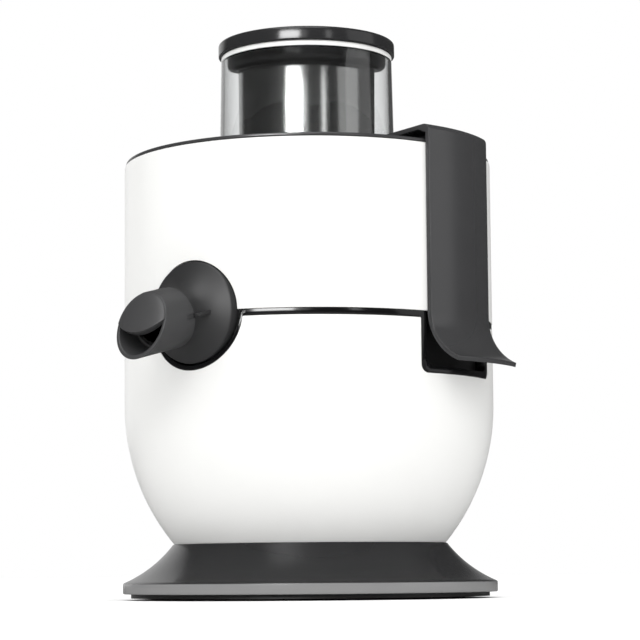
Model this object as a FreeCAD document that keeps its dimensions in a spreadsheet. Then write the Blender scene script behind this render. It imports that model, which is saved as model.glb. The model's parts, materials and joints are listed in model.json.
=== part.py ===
"""Centrifugal juicer with a wide feed chute, two side clamps and a turning drip-stop spout.

Frame: millimetres, +Z up, origin on the vertical axis at table height.
The spout points to -Y, the two clamps sit at +X and -X, the mains inlet is at the back, +Y.
"""
import FreeCAD, Part

import math
import os

import Sketcher
from FreeCAD import Placement, Rotation, Vector

doc = FreeCAD.newDocument("Juicer")
sheet = doc.addObject("Spreadsheet::Sheet", "Sizes")

# ---------------------------------------------------------------- driving sizes, millimetres
DRIVING_SIZES = [
    # housing
    ("body_radius", 102.2), ("shell_wall", 2.6), ("belly_centre", 106.0), ("belly_radius", 118.8),
    ("shell_bottom", 30.0), ("lower_top", 146.5), ("upper_bottom", 150.15), ("upper_top", 239.7),
    ("trim_radius", 101.9), ("trim_depth", 5.9),
    # base
    ("skirt_radius", 103.0), ("skirt_low", 3.5), ("skirt_rim_top", 8.8), ("skirt_neck", 75.6),
    ("plate_radius", 98.6), ("plate_low", 1.0), ("plate_thick", 2.3), ("flange_inner", 60.0),
    ("foot_radius", 9.0), ("foot_circle", 78.0), ("screw_circle", 68.5), ("screw_shank", 1.5),
    # clamp recess, half widths and heights
    ("recess_half", 31.9), ("recess_low", 117.5), ("recess_frame", 3.6), ("recess_back", 90.0),
    # spout
    ("spout_height", 150.0), ("spout_notch", 30.5), ("spout_hole", 28.0), ("bell_radius", 27.0),
    ("bell_neck", 14.3), ("nozzle_radius", 16.0), ("nozzle_wall", 2.0), ("pipe_radius", 12.5),
    ("pipe_bore", 10.8), ("nozzle_start", 17.0), ("pipe_end", 31.5), ("spout_tilt", 14.0),
    ("running_fit", 0.05),
    # lid, chute and clamps
    ("lid_radius", 101.4), ("lid_low", 240.0), ("lid_high", 241.8), ("chute_top", 300.0),
    ("chute_radius", 48.0), ("chute_foot_radius", 50.4), ("chute_bottom", 170.0), ("chute_wall", 3.0),
    ("seal_height", 3.0), ("arm_outer", 104.9), ("arm_inner", 102.6), ("arm_top", 250.0),
    ("arm_half", 28.0), ("arm_curve", 27.2), ("lip_tip", 122.6), ("short_lip_tip", 136.0), ("lip_blunt", 3.1),
    ("hinge_reach", 60.0), ("hinge_height", 245.4), ("hinge_barrel", 3.4), ("hinge_pin", 1.5),
    # pusher
    ("cap_radius", 49.6), ("cap_height", 7.4), ("collar_radius", 43.6), ("sleeve_radius", 37.6),
    ("sleeve_top", 291.0), ("sleeve_wall", 0.8), ("foot_disc_radius", 44.5), ("pusher_bottom", 167.0),
    # collector, pulp ring and basket
    ("collector_radius", 71.0), ("inner_wall", 2.0), ("collector_top", 204.0), ("pulp_floor", 172.0),
    ("pulp_inner", 75.0), ("pulp_outer", 99.2), ("pulp_top", 236.0), ("basket_low", 163.0),
    ("basket_high", 206.0), ("basket_foot", 52.0), ("basket_mouth", 64.0), ("disc_thick", 3.0),
    # motor and drive
    ("deck_low", 113.5), ("deck_thick", 3.0), ("shaft_radius", 4.0), ("stack_low", 60.0),
    ("stack_high", 88.0), ("yoke_radius", 42.0), ("bore_radius", 21.5), ("armature_radius", 20.8),
    ("coupling_radius", 12.5), ("bolt_circle", 38.6), ("deck_circle", 92.0),
    # controls
    ("knob_height", 82.0), ("knob_radius", 17.0), ("plunger_height", 144.5), ("gland_height", 46.0),
    ("gland_spigot", 8.0), ("gland_bore", 4.0),
]


class Size:
    """A length that knows its value and the sheet expression that gives it."""

    def __init__(self, value, text):
        self.value = float(value)
        self.text = text

    def _join(self, sign, other, value):
        text = other.text if isinstance(other, Size) else repr(float(other))
        return Size(value, f"({self.text} {sign} {text})")

    def __add__(self, other):
        return self._join("+", other, self.value + number(other))

    def __sub__(self, other):
        return self._join("-", other, self.value - number(other))

    def __mul__(self, other):
        return self._join("*", other, self.value * number(other))

    def __neg__(self):
        return Size(-self.value, f"(-1 * {self.text})")

    def __rsub__(self, other):
        return -self + other


def number(size):
    return size.value if isinstance(size, Size) else float(size)


class Sizes:
    """The sheet's cells by alias: Sizes.body_radius and so on."""


S = Sizes()
for row, (alias, value) in enumerate(DRIVING_SIZES, start=1):
    sheet.set(f"A{row}", alias.replace("_", " "))
    sheet.set(f"B{row}", str(value))
    sheet.setAlias(f"B{row}", alias)
    setattr(S, alias, Size(value, f"Sizes.{alias}"))
doc.recompute()

NODES = []
TILT = math.radians(S.spout_tilt.value)
SPOUT_AXIS = Vector(0, -math.cos(TILT), -math.sin(TILT))


# ---------------------------------------------------------------- helpers
def bind(thing, name, size):
    """Set a property to a size, and to its expression where it comes from the sheet."""
    if isinstance(size, Size):
        thing.setExpression(name, size.text)
    elif not name.startswith("Placement"):
        setattr(thing, name, size)


def place(thing, at, rotation=None):
    """Put a primitive or body at a point; the coordinates may be sizes."""
    turn = rotation or Rotation()
    thing.Placement = Placement(Vector(*[number(c) for c in at]), turn)
    for axis, size in zip("xyz", at):
        bind(thing, f"Placement.Base.{axis}", size)
    return thing


def node(thing, label):
    """Name a finished piece; its label is its node's name."""
    thing.Label = label
    NODES.append(thing)
    return thing


def cylinder(radius, height, at=(0, 0, 0), rotation=None):
    thing = doc.addObject("Part::Cylinder", "Cylinder")
    bind(thing, "Radius", radius)
    bind(thing, "Height", height)
    return place(thing, at, rotation)


def box(length, width, height, at=(0, 0, 0), rotation=None):
    thing = doc.addObject("Part::Box", "Box")
    bind(thing, "Length", length)
    bind(thing, "Width", width)
    bind(thing, "Height", height)
    return place(thing, at, rotation)


def torus(ring, section, at=(0, 0, 0), rotation=None):
    thing = doc.addObject("Part::Torus", "Torus")
    bind(thing, "Radius1", ring)
    bind(thing, "Radius2", section)
    return place(thing, at, rotation)


def fuse(*things):
    if len(things) == 1:
        return things[0]
    joined = doc.addObject("Part::MultiFuse", "Fuse")
    joined.Shapes = list(things)
    joined.Refine = True
    return joined


def group(*things):
    """Identical pieces of one node, kept as separate solids."""
    kept = doc.addObject("Part::Compound", "Group")
    kept.Links = list(things)
    return kept


def cut(base, *tools):
    result = doc.addObject("Part::Cut", "Cut")
    result.Base = base
    result.Tool = fuse(*tools)
    return result


def common(*things):
    result = doc.addObject("Part::MultiCommon", "Common")
    result.Shapes = list(things)
    return result


def sketch_outline(body, plane, outline):
    """Draw a closed outline; ("arc", x, y) before a corner bows the edge that arrives there."""
    sketch = body.newObject("Sketcher::SketchObject", "Outline")
    support = [f for f in body.Origin.OriginFeatures if f.Role == plane][0]
    sketch.AttachmentSupport = (support, [""])
    sketch.MapMode = "FlatFace"
    corners, bows, centres = [], {}, {}
    for point in outline:
        if point[0] == "arc":
            bows[len(corners)] = point[1:]
        else:
            corners.append(point)
    count = len(corners)
    spots = [Vector(number(x), number(y), 0) for x, y in corners]
    for i in range(count):
        start, end = spots[i], spots[(i + 1) % count]
        if i + 1 in bows:
            middle = Vector(*[number(c) for c in bows[i + 1]], 0)
            through = Part.Arc(start, middle, end).toShape().Curve
            centres[i] = through.Center
            angles = [math.atan2((p - through.Center).y, (p - through.Center).x) for p in (start, end)]
            if (middle - start).cross(end - middle).z < 0:
                angles.reverse()
            circle = Part.Circle(through.Center, Vector(0, 0, 1), through.Radius)
            sketch.addGeometry(Part.ArcOfCircle(circle, *angles))
        else:
            sketch.addGeometry(Part.LineSegment(start, end))
    ends = []
    for i in range(count):
        curve = sketch.Geometry[i]
        forward = (curve.StartPoint - spots[i]).Length < (curve.EndPoint - spots[i]).Length
        ends.append((1, 2) if forward else (2, 1))
    for i in range(count):
        follow = (i + 1) % count
        sketch.addConstraint(Sketcher.Constraint("Coincident", i, ends[i][1], follow, ends[follow][0]))
        for kind, size in zip(("DistanceX", "DistanceY"), corners[i]):
            held = Sketcher.Constraint(kind, -1, 1, i, ends[i][0], number(size))
            if number(size) == 0:
                axis = -2 if kind == "DistanceX" else -1
                held = Sketcher.Constraint("PointOnObject", i, ends[i][0], axis)
            index = sketch.addConstraint(held)
            if isinstance(size, Size):
                sketch.setExpression(f"Constraints[{index}]", size.text)
    for i, centre in centres.items():
        chord = spots[(i + 1) % count] - spots[i]
        steep = abs(chord.y) > abs(chord.x)
        kind, place_of_centre = ("DistanceX", centre.x) if steep else ("DistanceY", centre.y)
        sketch.addConstraint(Sketcher.Constraint(kind, -1, 1, i, 3, place_of_centre))
    return sketch


def revolve(outline):
    """A body turned round the vertical axis from an outline of (radius, height) corners."""
    body = doc.addObject("PartDesign::Body", "Body")
    sketch = sketch_outline(body, "XZ_Plane", outline)
    turned = body.newObject("PartDesign::Revolution", "Revolution")
    turned.Profile = sketch
    turned.ReferenceAxis = (sketch, ["V_Axis"])
    turned.Angle = 360.0
    sketch.Visibility = False
    return body


def ring(outer, inner, low, high):
    return revolve([(inner, low), (outer, low), (outer, high), (inner, high)])


def pad(outline, length, plane="XY_Plane", middle=False):
    """A body pushed out of a flat outline."""
    body = doc.addObject("PartDesign::Body", "Body")
    sketch = sketch_outline(body, plane, outline)
    solid = body.newObject("PartDesign::Pad", "Pad")
    solid.Profile = sketch
    solid.Midplane = middle
    bind(solid, "Length", length)
    sketch.Visibility = False
    return body


def round_edges(body, radius, wanted):
    """Fillet the edges of a body whose middle point passes the test."""
    doc.recompute()
    shape = body.Shape
    names = []
    for i, edge in enumerate(shape.Edges, start=1):
        if wanted(edge.valueAt((edge.FirstParameter + edge.LastParameter) / 2), edge):
            names.append(f"Edge{i}")
    base = body.Tip
    fillet = body.newObject("PartDesign::Fillet", "Fillet")
    fillet.Base = (base, names)
    fillet.Radius = radius
    return body


def low_end(side, near, far):
    """Lower coordinate of a span that reaches from near to far on either side of the middle."""
    return near if side > 0 else -far


def on_circle(radius, angle):
    turn = math.radians(angle)
    return radius * math.cos(turn), radius * math.sin(turn)


ALONG_SPOUT = Rotation(Vector(0, 0, 1), SPOUT_AXIS)
TO_FRONT = Rotation(Vector(0, 0, 1), Vector(0, -1, 0))
TO_BACK = Rotation(Vector(0, 0, 1), Vector(0, 1, 0))
TO_RIGHT = Rotation(Vector(0, 0, 1), Vector(1, 0, 0))
TO_LEFT = Rotation(Vector(0, 0, 1), Vector(-1, 0, 0))


def spout_point(length):
    """A point on the spout's axis, counted outwards from the housing's surface."""
    start = Vector(0, -S.body_radius.value, S.spout_height.value)
    return tuple(start + SPOUT_AXIS * length)


# ---------------------------------------------------------------- base
def make_base():
    rim = S.skirt_radius
    neck = S.skirt_neck
    top = S.shell_bottom
    skirt = revolve([
        (rim - 2.8, S.skirt_low), (rim, S.skirt_low), (rim, S.skirt_rim_top), (rim - 0.6, S.skirt_rim_top + 0.6),
        ("arc", 86.6, 18.8), (neck, top), (neck - 9.6, top), (neck - 9.6, top - 2.5), (neck - 1.7, top - 2.5),
        ("arc", 85.6, 15.9), (rim - 2.8, S.skirt_rim_top - 1.4)])
    bosses, holes = [], []
    for quarter in range(4):
        x, y = on_circle(S.screw_circle.value, 45 + 90 * quarter)
        bosses.append(cylinder(4.2, S.shell_bottom - 2.5 - S.plate_low - S.plate_thick,
                               (x, y, S.plate_low + S.plate_thick)))
        holes.append(cylinder(S.screw_shank, 12, (x, y, S.plate_low + S.plate_thick)))
        x, y = on_circle(S.screw_circle.value + 1.5, 90 * quarter)
        holes.append(cylinder(S.screw_shank, 10, (x, y, S.shell_bottom - 5)))
    node(cut(fuse(skirt, *bosses), *holes), "base_skirt")

    top_of_plate = S.plate_low + S.plate_thick
    plate = revolve([(0, S.plate_low), (S.plate_radius, S.plate_low), (S.plate_radius, top_of_plate + 3.0),
                     (S.plate_radius - 2, top_of_plate + 3.0), (S.plate_radius - 2, top_of_plate),
                     (0, top_of_plate)])
    holes = []
    for quarter in range(4):
        x, y = on_circle(S.screw_circle.value, 45 + 90 * quarter)
        holes.append(cylinder(S.screw_shank, 5, (x, y, S.plate_low - 1)))
        holes.append(cylinder(3.2, S.plate_thick - 1.0, (x, y, S.plate_low)))
        x, y = on_circle(S.foot_circle.value, 90 * quarter + 20)
        holes.append(cylinder(S.foot_radius, 5, (x, y, S.plate_low - 1)))
    for slot in range(12):
        turn = Rotation(Vector(0, 0, 1), 30 * slot)
        spot = turn.multVec(Vector(22, -1.75, S.plate_low.value - 1))
        holes.append(box(22, 3.5, 5, tuple(spot), turn))
    node(cut(plate, *holes), "base_plate")

    feet, screws, long_screws = [], [], []
    for quarter in range(4):
        x, y = on_circle(S.foot_circle.value, 90 * quarter + 20)
        feet.append(place(revolve([(0, 0), (S.foot_radius - 0.6, 0), (S.foot_radius, 0.6),
                                   (S.foot_radius, top_of_plate), (S.foot_radius + 2, top_of_plate),
                                   (S.foot_radius + 2, top_of_plate + 1.6), (0, top_of_plate + 1.6)]),
                          (x, y, 0)))
        x, y = on_circle(S.screw_circle.value, 45 + 90 * quarter)
        screws.append(fuse(cylinder(3.2, 1.3, (x, y, S.plate_low)),
                           cylinder(S.screw_shank, 12, (x, y, S.plate_low + 1.3))))
        x, y = on_circle(S.screw_circle.value + 1.5, 90 * quarter)
        long_screws.append(fuse(cylinder(3.2, 1.8, (x, y, S.shell_bottom - 4.3)),
                                cylinder(S.screw_shank, 9.5, (x, y, S.shell_bottom - 2.5))))
    node(group(*feet), "rubber_feet")
    node(group(*screws), "base_screws")
    node(group(*long_screws), "shell_screws")


# ---------------------------------------------------------------- housing
def belly_at(height, inset=0.0):
    """Radius of the housing's rounded belly at a height, or of its inside face."""
    drop = S.belly_centre.value - height
    bow = S.belly_radius.value - inset
    return S.body_radius.value - S.belly_radius.value + math.sqrt(bow ** 2 - drop ** 2)


def recess_block(side, half, low, near=85.0, far=112.0):
    """The rounded block that opens the housing behind a clamp's lip."""
    corner = 4.5
    top = 156.0
    face = pad([(-half, low + corner), ("arc", -(half - corner * 0.293), low + corner * 0.293),
                (-(half - corner), low), (half - corner, low),
                ("arc", half - corner * 0.293, low + corner * 0.293), (half, low + corner),
                (half, top), (-half, top)], far - near, plane="YZ_Plane")
    return place(face, (near if side > 0 else -far, 0, 0))


def make_housing():
    outer = S.body_radius
    inner = outer - S.shell_wall
    belly = S.belly_centre
    inner_low = S.shell_bottom + S.shell_wall

    wall = S.shell_wall.value
    shell = revolve([
        (S.flange_inner, S.shell_bottom), (belly_at(S.shell_bottom.value), S.shell_bottom),
        ("arc", belly_at(70), 70), (outer, belly), (outer, S.lower_top), (inner, S.lower_top),
        (inner, belly), ("arc", belly_at(70, wall), 70), (belly_at(inner_low.value, wall), inner_low),
        (S.flange_inner, inner_low)])
    notch = cylinder(S.spout_notch, 30, (0, -85, S.spout_height), TO_FRONT)
    openings = [notch] + [recess_block(side, S.recess_half, S.recess_low) for side in (1, -1)]
    openings.append(cylinder(4.0, 30, (-85, 0, S.knob_height), TO_LEFT))
    openings.append(cylinder(S.gland_spigot, 30, (0, 75, S.gland_height), TO_BACK))
    screw_bosses, screw_holes = [], []
    for quarter in range(4):
        x, y = on_circle(S.screw_circle.value + 1.5, 90 * quarter)
        screw_bosses.append(cylinder(4.0, 6.0, (x, y, inner_low - 1)))
        screw_holes.append(cylinder(S.screw_shank, 7.0, (x, y, S.shell_bottom)))
        turn = Rotation(Vector(0, 0, 1), 45 + 90 * quarter)
        screw_bosses.append(box(13, 10, 22, tuple(turn.multVec(Vector(88, -5, S.deck_low.value - 22))), turn))
        x, y = on_circle(S.deck_circle.value, 45 + 90 * quarter)
        screw_holes.append(cylinder(S.screw_shank, 10, (x, y, S.deck_low - 10)))
    bosses = common(fuse(*screw_bosses), cylinder(belly_at(S.deck_low.value - 22) - 0.4, 200))
    node(cut(fuse(shell, bosses), *openings, *screw_holes), "lower_shell")

    upper = ring(outer, inner, S.upper_bottom, S.upper_top)
    round_edges(upper, 0.8, lambda middle, edge: abs(middle.z - S.upper_top.value) < 0.01
                and math.hypot(middle.x, middle.y) > inner.value + 1)
    bell_gap = cylinder(S.bell_radius + 0.5, 30, (0, -85, S.spout_height), TO_FRONT)
    node(cut(upper, bell_gap), "upper_shell")

    band = ring(S.trim_radius, S.trim_radius - S.trim_depth, S.recess_low, S.upper_bottom)
    frames = [cylinder(S.trim_radius + 5, S.upper_bottom - S.lower_top, (0, 0, S.lower_top)),
              cylinder(S.spout_notch, 30, (0, -85, S.spout_height), TO_FRONT)]
    frames += [recess_block(side, S.recess_half, S.recess_low) for side in (1, -1)]
    gaps = [cylinder(S.spout_hole, 30, (0, -85, S.spout_height), TO_FRONT)]
    gaps += [recess_block(side, S.recess_half - S.recess_frame, S.recess_low + S.recess_frame)
             for side in (1, -1)]
    node(cut(common(band, fuse(*frames)), *gaps), "seam_trim")

    for side, name in ((1, "right"), (-1, "left")):
        back = S.recess_back.value
        half = S.recess_half - S.recess_frame
        floor = S.recess_low + S.recess_frame
        block = box(9, half * 2 + 4, S.upper_bottom - floor + 2,
                    (back if side > 0 else -back - 9, -(half + 2), floor - 2))
        within = cylinder(S.trim_radius - S.trim_depth, 60, (0, 0, S.recess_low - 5))
        pocket = box(12, half * 2, 40, (back + 2 if side > 0 else -back - 14, -half, floor))
        tools = [pocket]
        if side > 0:
            tools.append(cylinder(2.95, 8, (back - 2, 0, S.plunger_height), TO_RIGHT))
        node(cut(common(block, within), *tools), f"recess_liner_{name}")


def make_deck():
    hub = 24.0
    top = S.deck_low + S.deck_thick
    deck = revolve([
        (8.0, S.deck_low), (S.body_radius - S.shell_wall - 0.3, S.deck_low),
        (S.body_radius - S.shell_wall - 0.3, S.deck_low + 1.5), (90.0, top), (hub, top), (20.0, top + 10.0),
        (8.0, top + 10.0)])
    holes, screws = [], []
    for quarter in range(4):
        x, y = on_circle(S.deck_circle.value, 45 + 90 * quarter)
        holes.append(cylinder(1.6, 10, (x, y, S.deck_low - 2)))
        screws.append(fuse(cylinder(3.2, 1.8, (x, y, top)), cylinder(S.screw_shank, 10, (x, y, top - 10))))
    node(cut(deck, *holes), "motor_deck")
    node(group(*screws), "deck_screws")
    node(revolve([(S.shaft_radius + 0.35, top + 2.0), (8.0, top + 2.0), (8.0, top + 8.0), (7.0, top + 8.0),
                  (7.0, top + 3.0), (5.4, top + 3.0), (5.4, top + 8.0), (S.shaft_radius + 0.35, top + 8.0)]),
         "shaft_seal")


# ---------------------------------------------------------------- motor
def make_motor():
    low, high = S.stack_low, S.stack_high
    height = high - low
    yoke = ring(S.yoke_radius, S.yoke_radius - 7, low, high)
    poles = [box(16, 20, height, (22.5 if side > 0 else -38.5, -10, low)) for side in (1, -1)]
    bore = cylinder(S.bore_radius, height + 2, (0, 0, low - 1))
    bolt_holes = [cylinder(2.05, height + 2, on_circle(S.bolt_circle.value, 45 + 90 * q) + (low - 1,))
                  for q in range(4)]
    node(cut(fuse(yoke, *poles), bore, *bolt_holes), "motor_stator")

    coils = []
    for side in (1, -1):
        loop = box(6, 32, height + 12, (24.0 if side > 0 else -30.0, -16, low - 6))
        window = box(8, 20.4, height + 0.4, (23.0 if side > 0 else -31.0, -10.2, low - 0.2))
        coils.append(cut(loop, window))
    node(group(*coils), "field_coils")

    bolts = [fuse(cylinder(2.0, 70.0, on_circle(S.bolt_circle.value, 45 + 90 * q) + (37.5,)),
                  cylinder(3.6, 2.5, on_circle(S.bolt_circle.value, 45 + 90 * q) + (35.0,)))
             for q in range(4)]
    node(group(*bolts), "motor_bolts")

    spider = [ring(14.0, 11.0, 34.5, 43.0), ring(14.0, 4.6, 33.0, 34.5), ring(S.yoke_radius + 1, 33.0, 37.5, 41.0)]
    for quarter in range(4):
        turn = Rotation(Vector(0, 0, 1), 45 + 90 * quarter)
        spider.append(box(24, 8, 3.5, tuple(turn.multVec(Vector(12, -4, 37.5))), turn))
    holes = [cylinder(2.05, 10, on_circle(S.bolt_circle.value, 45 + 90 * q) + (35.0,)) for q in range(4)]
    node(cut(fuse(*spider), *holes), "lower_bracket")

    bearing_low = 107.0
    spider = [ring(14.0, 11.0, 104.5, S.deck_low - 0.3), ring(S.yoke_radius + 1, 33.0, 104.5, 107.5)]
    mounts, screws = [], []
    for quarter in range(4):
        turn = Rotation(Vector(0, 0, 1), 45 + 90 * quarter)
        spider.append(box(54, 9, 3.0, tuple(turn.multVec(Vector(12, -4.5, 104.5))), turn))
        x, y = on_circle(60.0, 45 + 90 * quarter)
        mounts.append(cut(cylinder(6.0, S.deck_low - 107.5, (x, y, 107.5)), cylinder(1.55, 10, (x, y, 105))))
        screws.append(fuse(cylinder(1.5, 9.0, (x, y, 104.5)), cylinder(3.4, 2.0, (x, y, 102.5))))
    holes = [cylinder(2.05, 10, on_circle(S.bolt_circle.value, 45 + 90 * q) + (100.0,)) for q in range(4)]
    holes += [cylinder(1.55, 10, on_circle(60.0, 45 + 90 * q) + (100.0,)) for q in range(4)]
    node(cut(fuse(*spider), *holes), "upper_bracket")
    node(group(*mounts), "motor_mounts")
    node(group(*screws), "mount_screws")

    node(ring(11.0, S.shaft_radius + S.running_fit, 34.5, 41.5), "lower_bearing")
    node(ring(11.0, S.shaft_radius + S.running_fit, bearing_low - 1.0, bearing_low + 6.0), "upper_bearing")

    node(cylinder(S.shaft_radius, 114.0, (0, 0, 34.6)), "motor_shaft")
    core = ring(S.armature_radius, S.shaft_radius, low, high)
    slots = []
    for slot in range(12):
        turn = Rotation(Vector(0, 0, 1), 30 * slot)
        slots.append(box(9, 3.0, height + 2, tuple(turn.multVec(Vector(12.5, -1.5, low.value - 1))), turn))
    node(cut(core, *slots), "armature_core")
    ends = [revolve([(5.5, start), (16.0, start), (18.0, start + 2.5), (16.0, start + 6.0), (5.5, start + 6.0)])
            for start in (low.value - 6.2, high.value + 0.2)]
    node(group(*ends), "armature_winding")
    segments = ring(11.0, S.shaft_radius, 44.0, 52.0)
    gaps = []
    for slit in range(24):
        turn = Rotation(Vector(0, 0, 1), 15 * slit)
        gaps.append(box(2.5, 0.4, 10.0, tuple(turn.multVec(Vector(9.5, -0.2, 43.0))), turn))
    node(cut(segments, *gaps), "commutator")

    brushes, holders = [], []
    for side in (1, -1):
        brushes.append(box(5.0, 14.0, 5.0, (-2.5, low_end(side, 11.35, 25.35), 45.5)))
        tube = box(8.0, 15.0, 8.0, (-4.0, low_end(side, 15.0, 30.0), 44.0))
        holders.append(cut(tube, box(5.1, 14.0, 5.1, (-2.55, low_end(side, 14.0, 28.0), 45.45))))
        holders.append(box(8.0, 8.0, 3.0, (-4.0, low_end(side, 30.0, 38.0), 41.0)))
    node(group(*brushes), "carbon_brushes")
    node(group(fuse(*holders[:2]), fuse(*holders[2:])), "brush_holders")

    vanes = [ring(9.0, S.shaft_radius, 96.0, 103.0), ring(34.0, 8.0, 96.0, 97.5)]
    for vane in range(9):
        turn = Rotation(Vector(0, 0, 1), 40 * vane)
        lean = Rotation(Vector(0, 0, 1), 40 * vane + 18)
        vanes.append(box(20, 1.4, 5.5, tuple(turn.multVec(Vector(13, -0.7, 97.5))), lean))
    node(fuse(*vanes), "cooling_fan")


def make_drive():
    dog = [ring(S.coupling_radius - 2.5, S.shaft_radius, 132.0, 148.0)]
    for tooth in range(6):
        turn = Rotation(Vector(0, 0, 1), 60 * tooth)
        dog.append(box(4.0, 4.0, 14.0, tuple(turn.multVec(Vector(8.5, -2.0, 134.0))), turn))
    node(fuse(*dog), "drive_coupling")
    hub = revolve([(S.coupling_radius + 0.3, 134.0), (18.0, 134.0), (18.0, 156.0), (40.0, 159.0),
                   (40.0, 160.0), (0, 160.0), (0, 149.0), (S.coupling_radius + 0.3, 149.0)])
    node(hub, "basket_hub")
    thick = S.disc_thick
    disc = [cylinder(S.basket_foot - 0.8, thick, (0, 0, S.basket_low - thick))]
    for row, (radius, count) in enumerate(((16, 8), (26, 14), (36, 20), (45, 26))):
        for tooth in range(count):
            turn = Rotation(Vector(0, 0, 1), 360.0 / count * (tooth + 0.5 * row))
            spot = turn.multVec(Vector(radius - 1.6, -0.7, S.basket_low.value - 0.5))
            disc.append(box(3.2, 1.4, 1.7, tuple(spot), turn))
    node(fuse(*disc), "grating_disc")
    wall = 0.8
    node(revolve([(S.basket_foot - wall, S.basket_low - thick), (S.basket_foot, S.basket_low - thick),
                  (S.basket_mouth, S.basket_high), (S.basket_mouth - wall, S.basket_high)]), "filter_basket")
    node(revolve([(S.basket_mouth - wall, S.basket_high), (S.basket_mouth, S.basket_high),
                  (S.basket_mouth + 3.0, S.basket_high - 2.0), (S.basket_mouth + 3.0, S.basket_high + 2.0),
                  (S.basket_mouth - wall, S.basket_high + 2.0)]), "basket_rim")


# ---------------------------------------------------------------- collector and spout
def spout_pipe(radius, start, end):
    return cylinder(radius, end - start, spout_point(start), ALONG_SPOUT)


def make_collector():
    wall = S.inner_wall
    inside = S.collector_radius
    flange = S.pulp_floor - 2.5
    deck_top = S.deck_low + S.deck_thick
    bowl = revolve([
        (21.0, 130.0), (23.0, 130.0), (23.0, 150.0), (inside, 143.0), (inside, deck_top),
        (inside + wall, deck_top), (inside + wall, flange), (S.pulp_outer - 3, flange),
        (S.pulp_outer - 3, S.pulp_floor), (inside + wall, S.pulp_floor), (inside + wall, S.collector_top),
        (inside, S.collector_top), (inside, 145.0), (23.0, 152.0), (23.0, 154.0), (21.0, 154.0)])
    port = cut(spout_pipe(S.pipe_radius, -40, S.pipe_end.value), cylinder(inside + 0.5, 60, (0, 0, 130)))
    bored = cut(fuse(bowl, port), spout_pipe(S.pipe_bore, -45, S.pipe_end.value + 5))
    groove = cut(spout_pipe(S.pipe_radius + 1, 24.0, 26.0), spout_pipe(S.pipe_radius - 0.95, 23.0, 27.0))
    node(cut(bored, groove), "juice_collector")
    node(torus(S.pipe_radius - 0.48, 0.42, spout_point(25.0), ALONG_SPOUT), "spout_oring")

    floor = S.pulp_floor
    node(revolve([
        (S.pulp_inner, floor), (S.pulp_outer, floor), (S.pulp_outer, S.pulp_top),
        (S.pulp_outer - wall, S.pulp_top), (S.pulp_outer - wall, floor + wall), (S.pulp_inner + wall, floor + wall),
        (S.pulp_inner + wall, S.collector_top), (S.pulp_inner, S.collector_top)]), "pulp_container")


def bell_loft(rings):
    """A trumpet through upright circles: (distance out from the housing, radius)."""
    body = doc.addObject("PartDesign::Body", "Body")
    support = [f for f in body.Origin.OriginFeatures if f.Role == "XZ_Plane"][0]
    sections = []
    for out, radius in rings:
        sketch = body.newObject("Sketcher::SketchObject", "Section")
        sketch.AttachmentSupport = (support, [""])
        sketch.MapMode = "FlatFace"
        sketch.AttachmentOffset = Placement(Vector(0, 0, S.body_radius.value + out), Rotation())
        middle = S.spout_height.value - max(out, 0.0) * math.tan(TILT)
        sketch.addGeometry(Part.Circle(Vector(0, middle, 0), Vector(0, 0, 1), radius))
        sketch.addConstraint(Sketcher.Constraint("PointOnObject", 0, 3, -2))
        sketch.addConstraint(Sketcher.Constraint("DistanceY", -1, 1, 0, 3, middle))
        sketch.addConstraint(Sketcher.Constraint("Radius", 0, radius))
        sections.append(sketch)
    loft = body.newObject("PartDesign::AdditiveLoft", "Trumpet")
    loft.Profile = sections[0]
    loft.Sections = sections[1:]
    loft.Ruled = True
    return body


def make_spout():
    rim = S.bell_radius.value
    neck = S.bell_neck.value
    flare = [(-9.0, rim), (0.6, rim), (1.6, rim - 2.6), (3.4, rim - 5.6), (6.0, rim - 8.6), (9.0, rim - 10.9),
             (12.0, neck + 0.3), (14.0, neck), (23.0, neck)]
    limit = cylinder(S.bell_radius + 0.1, 60, (0, -85, S.spout_height), TO_FRONT)
    trumpet = common(bell_loft(flare), limit, spout_pipe(60, -40, S.nozzle_start.value + 2.6))
    hollow = bell_loft([(-12.0, rim - 2.2), (-1.0, rim - 2.2), (1.4, rim - 7.0), (5.0, rim - 11.0),
                        (9.0, S.pipe_radius.value)])
    housing_core = cylinder(S.body_radius - S.shell_wall, 80, (0, 0, 110))
    node(cut(trumpet, hollow, spout_pipe(S.pipe_radius, -20, 25), housing_core), "spout_bell")

    start = S.nozzle_start.value
    barrel = spout_pipe(S.nozzle_radius, start, 60.0)
    slant = 31.2
    oblique = Rotation(Vector(1, 0, 0), slant - S.spout_tilt.value)
    mouth = Vector(*spout_point(42.3))
    beyond = box(80, 60, 80, tuple(mouth + oblique.multVec(Vector(-40, -60, -40))), oblique)
    inside = S.nozzle_radius.value - S.nozzle_wall.value
    shell = cut(barrel, beyond)
    passage = spout_pipe(inside, S.pipe_end.value - 0.3, 70.0)
    visor = box(80, 1.9, 40, tuple(mouth + oblique.multVec(Vector(-40, 0, 1.0))), oblique)
    passage = cut(passage, visor)
    counterbore = spout_pipe(neck + 0.5, start - 1, 20.2)
    bore = spout_pipe(S.pipe_radius + S.running_fit, start, 40.0)
    keyway = box(3.0, 8.0, 4.0, tuple(Vector(*spout_point(start)) + ALONG_SPOUT.multVec(Vector(-1.5, -18.0, -1.0))),
                 ALONG_SPOUT)
    node(cut(shell, passage, counterbore, bore, keyway), "spout_nozzle")


# ---------------------------------------------------------------- lid, chute and clamps
def chute_at(height):
    """Outer radius of the tapering chute at a height."""
    share = (height - S.chute_bottom.value) / (S.chute_top.value - S.chute_bottom.value)
    return S.chute_foot_radius.value + share * (S.chute_radius.value - S.chute_foot_radius.value)


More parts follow.
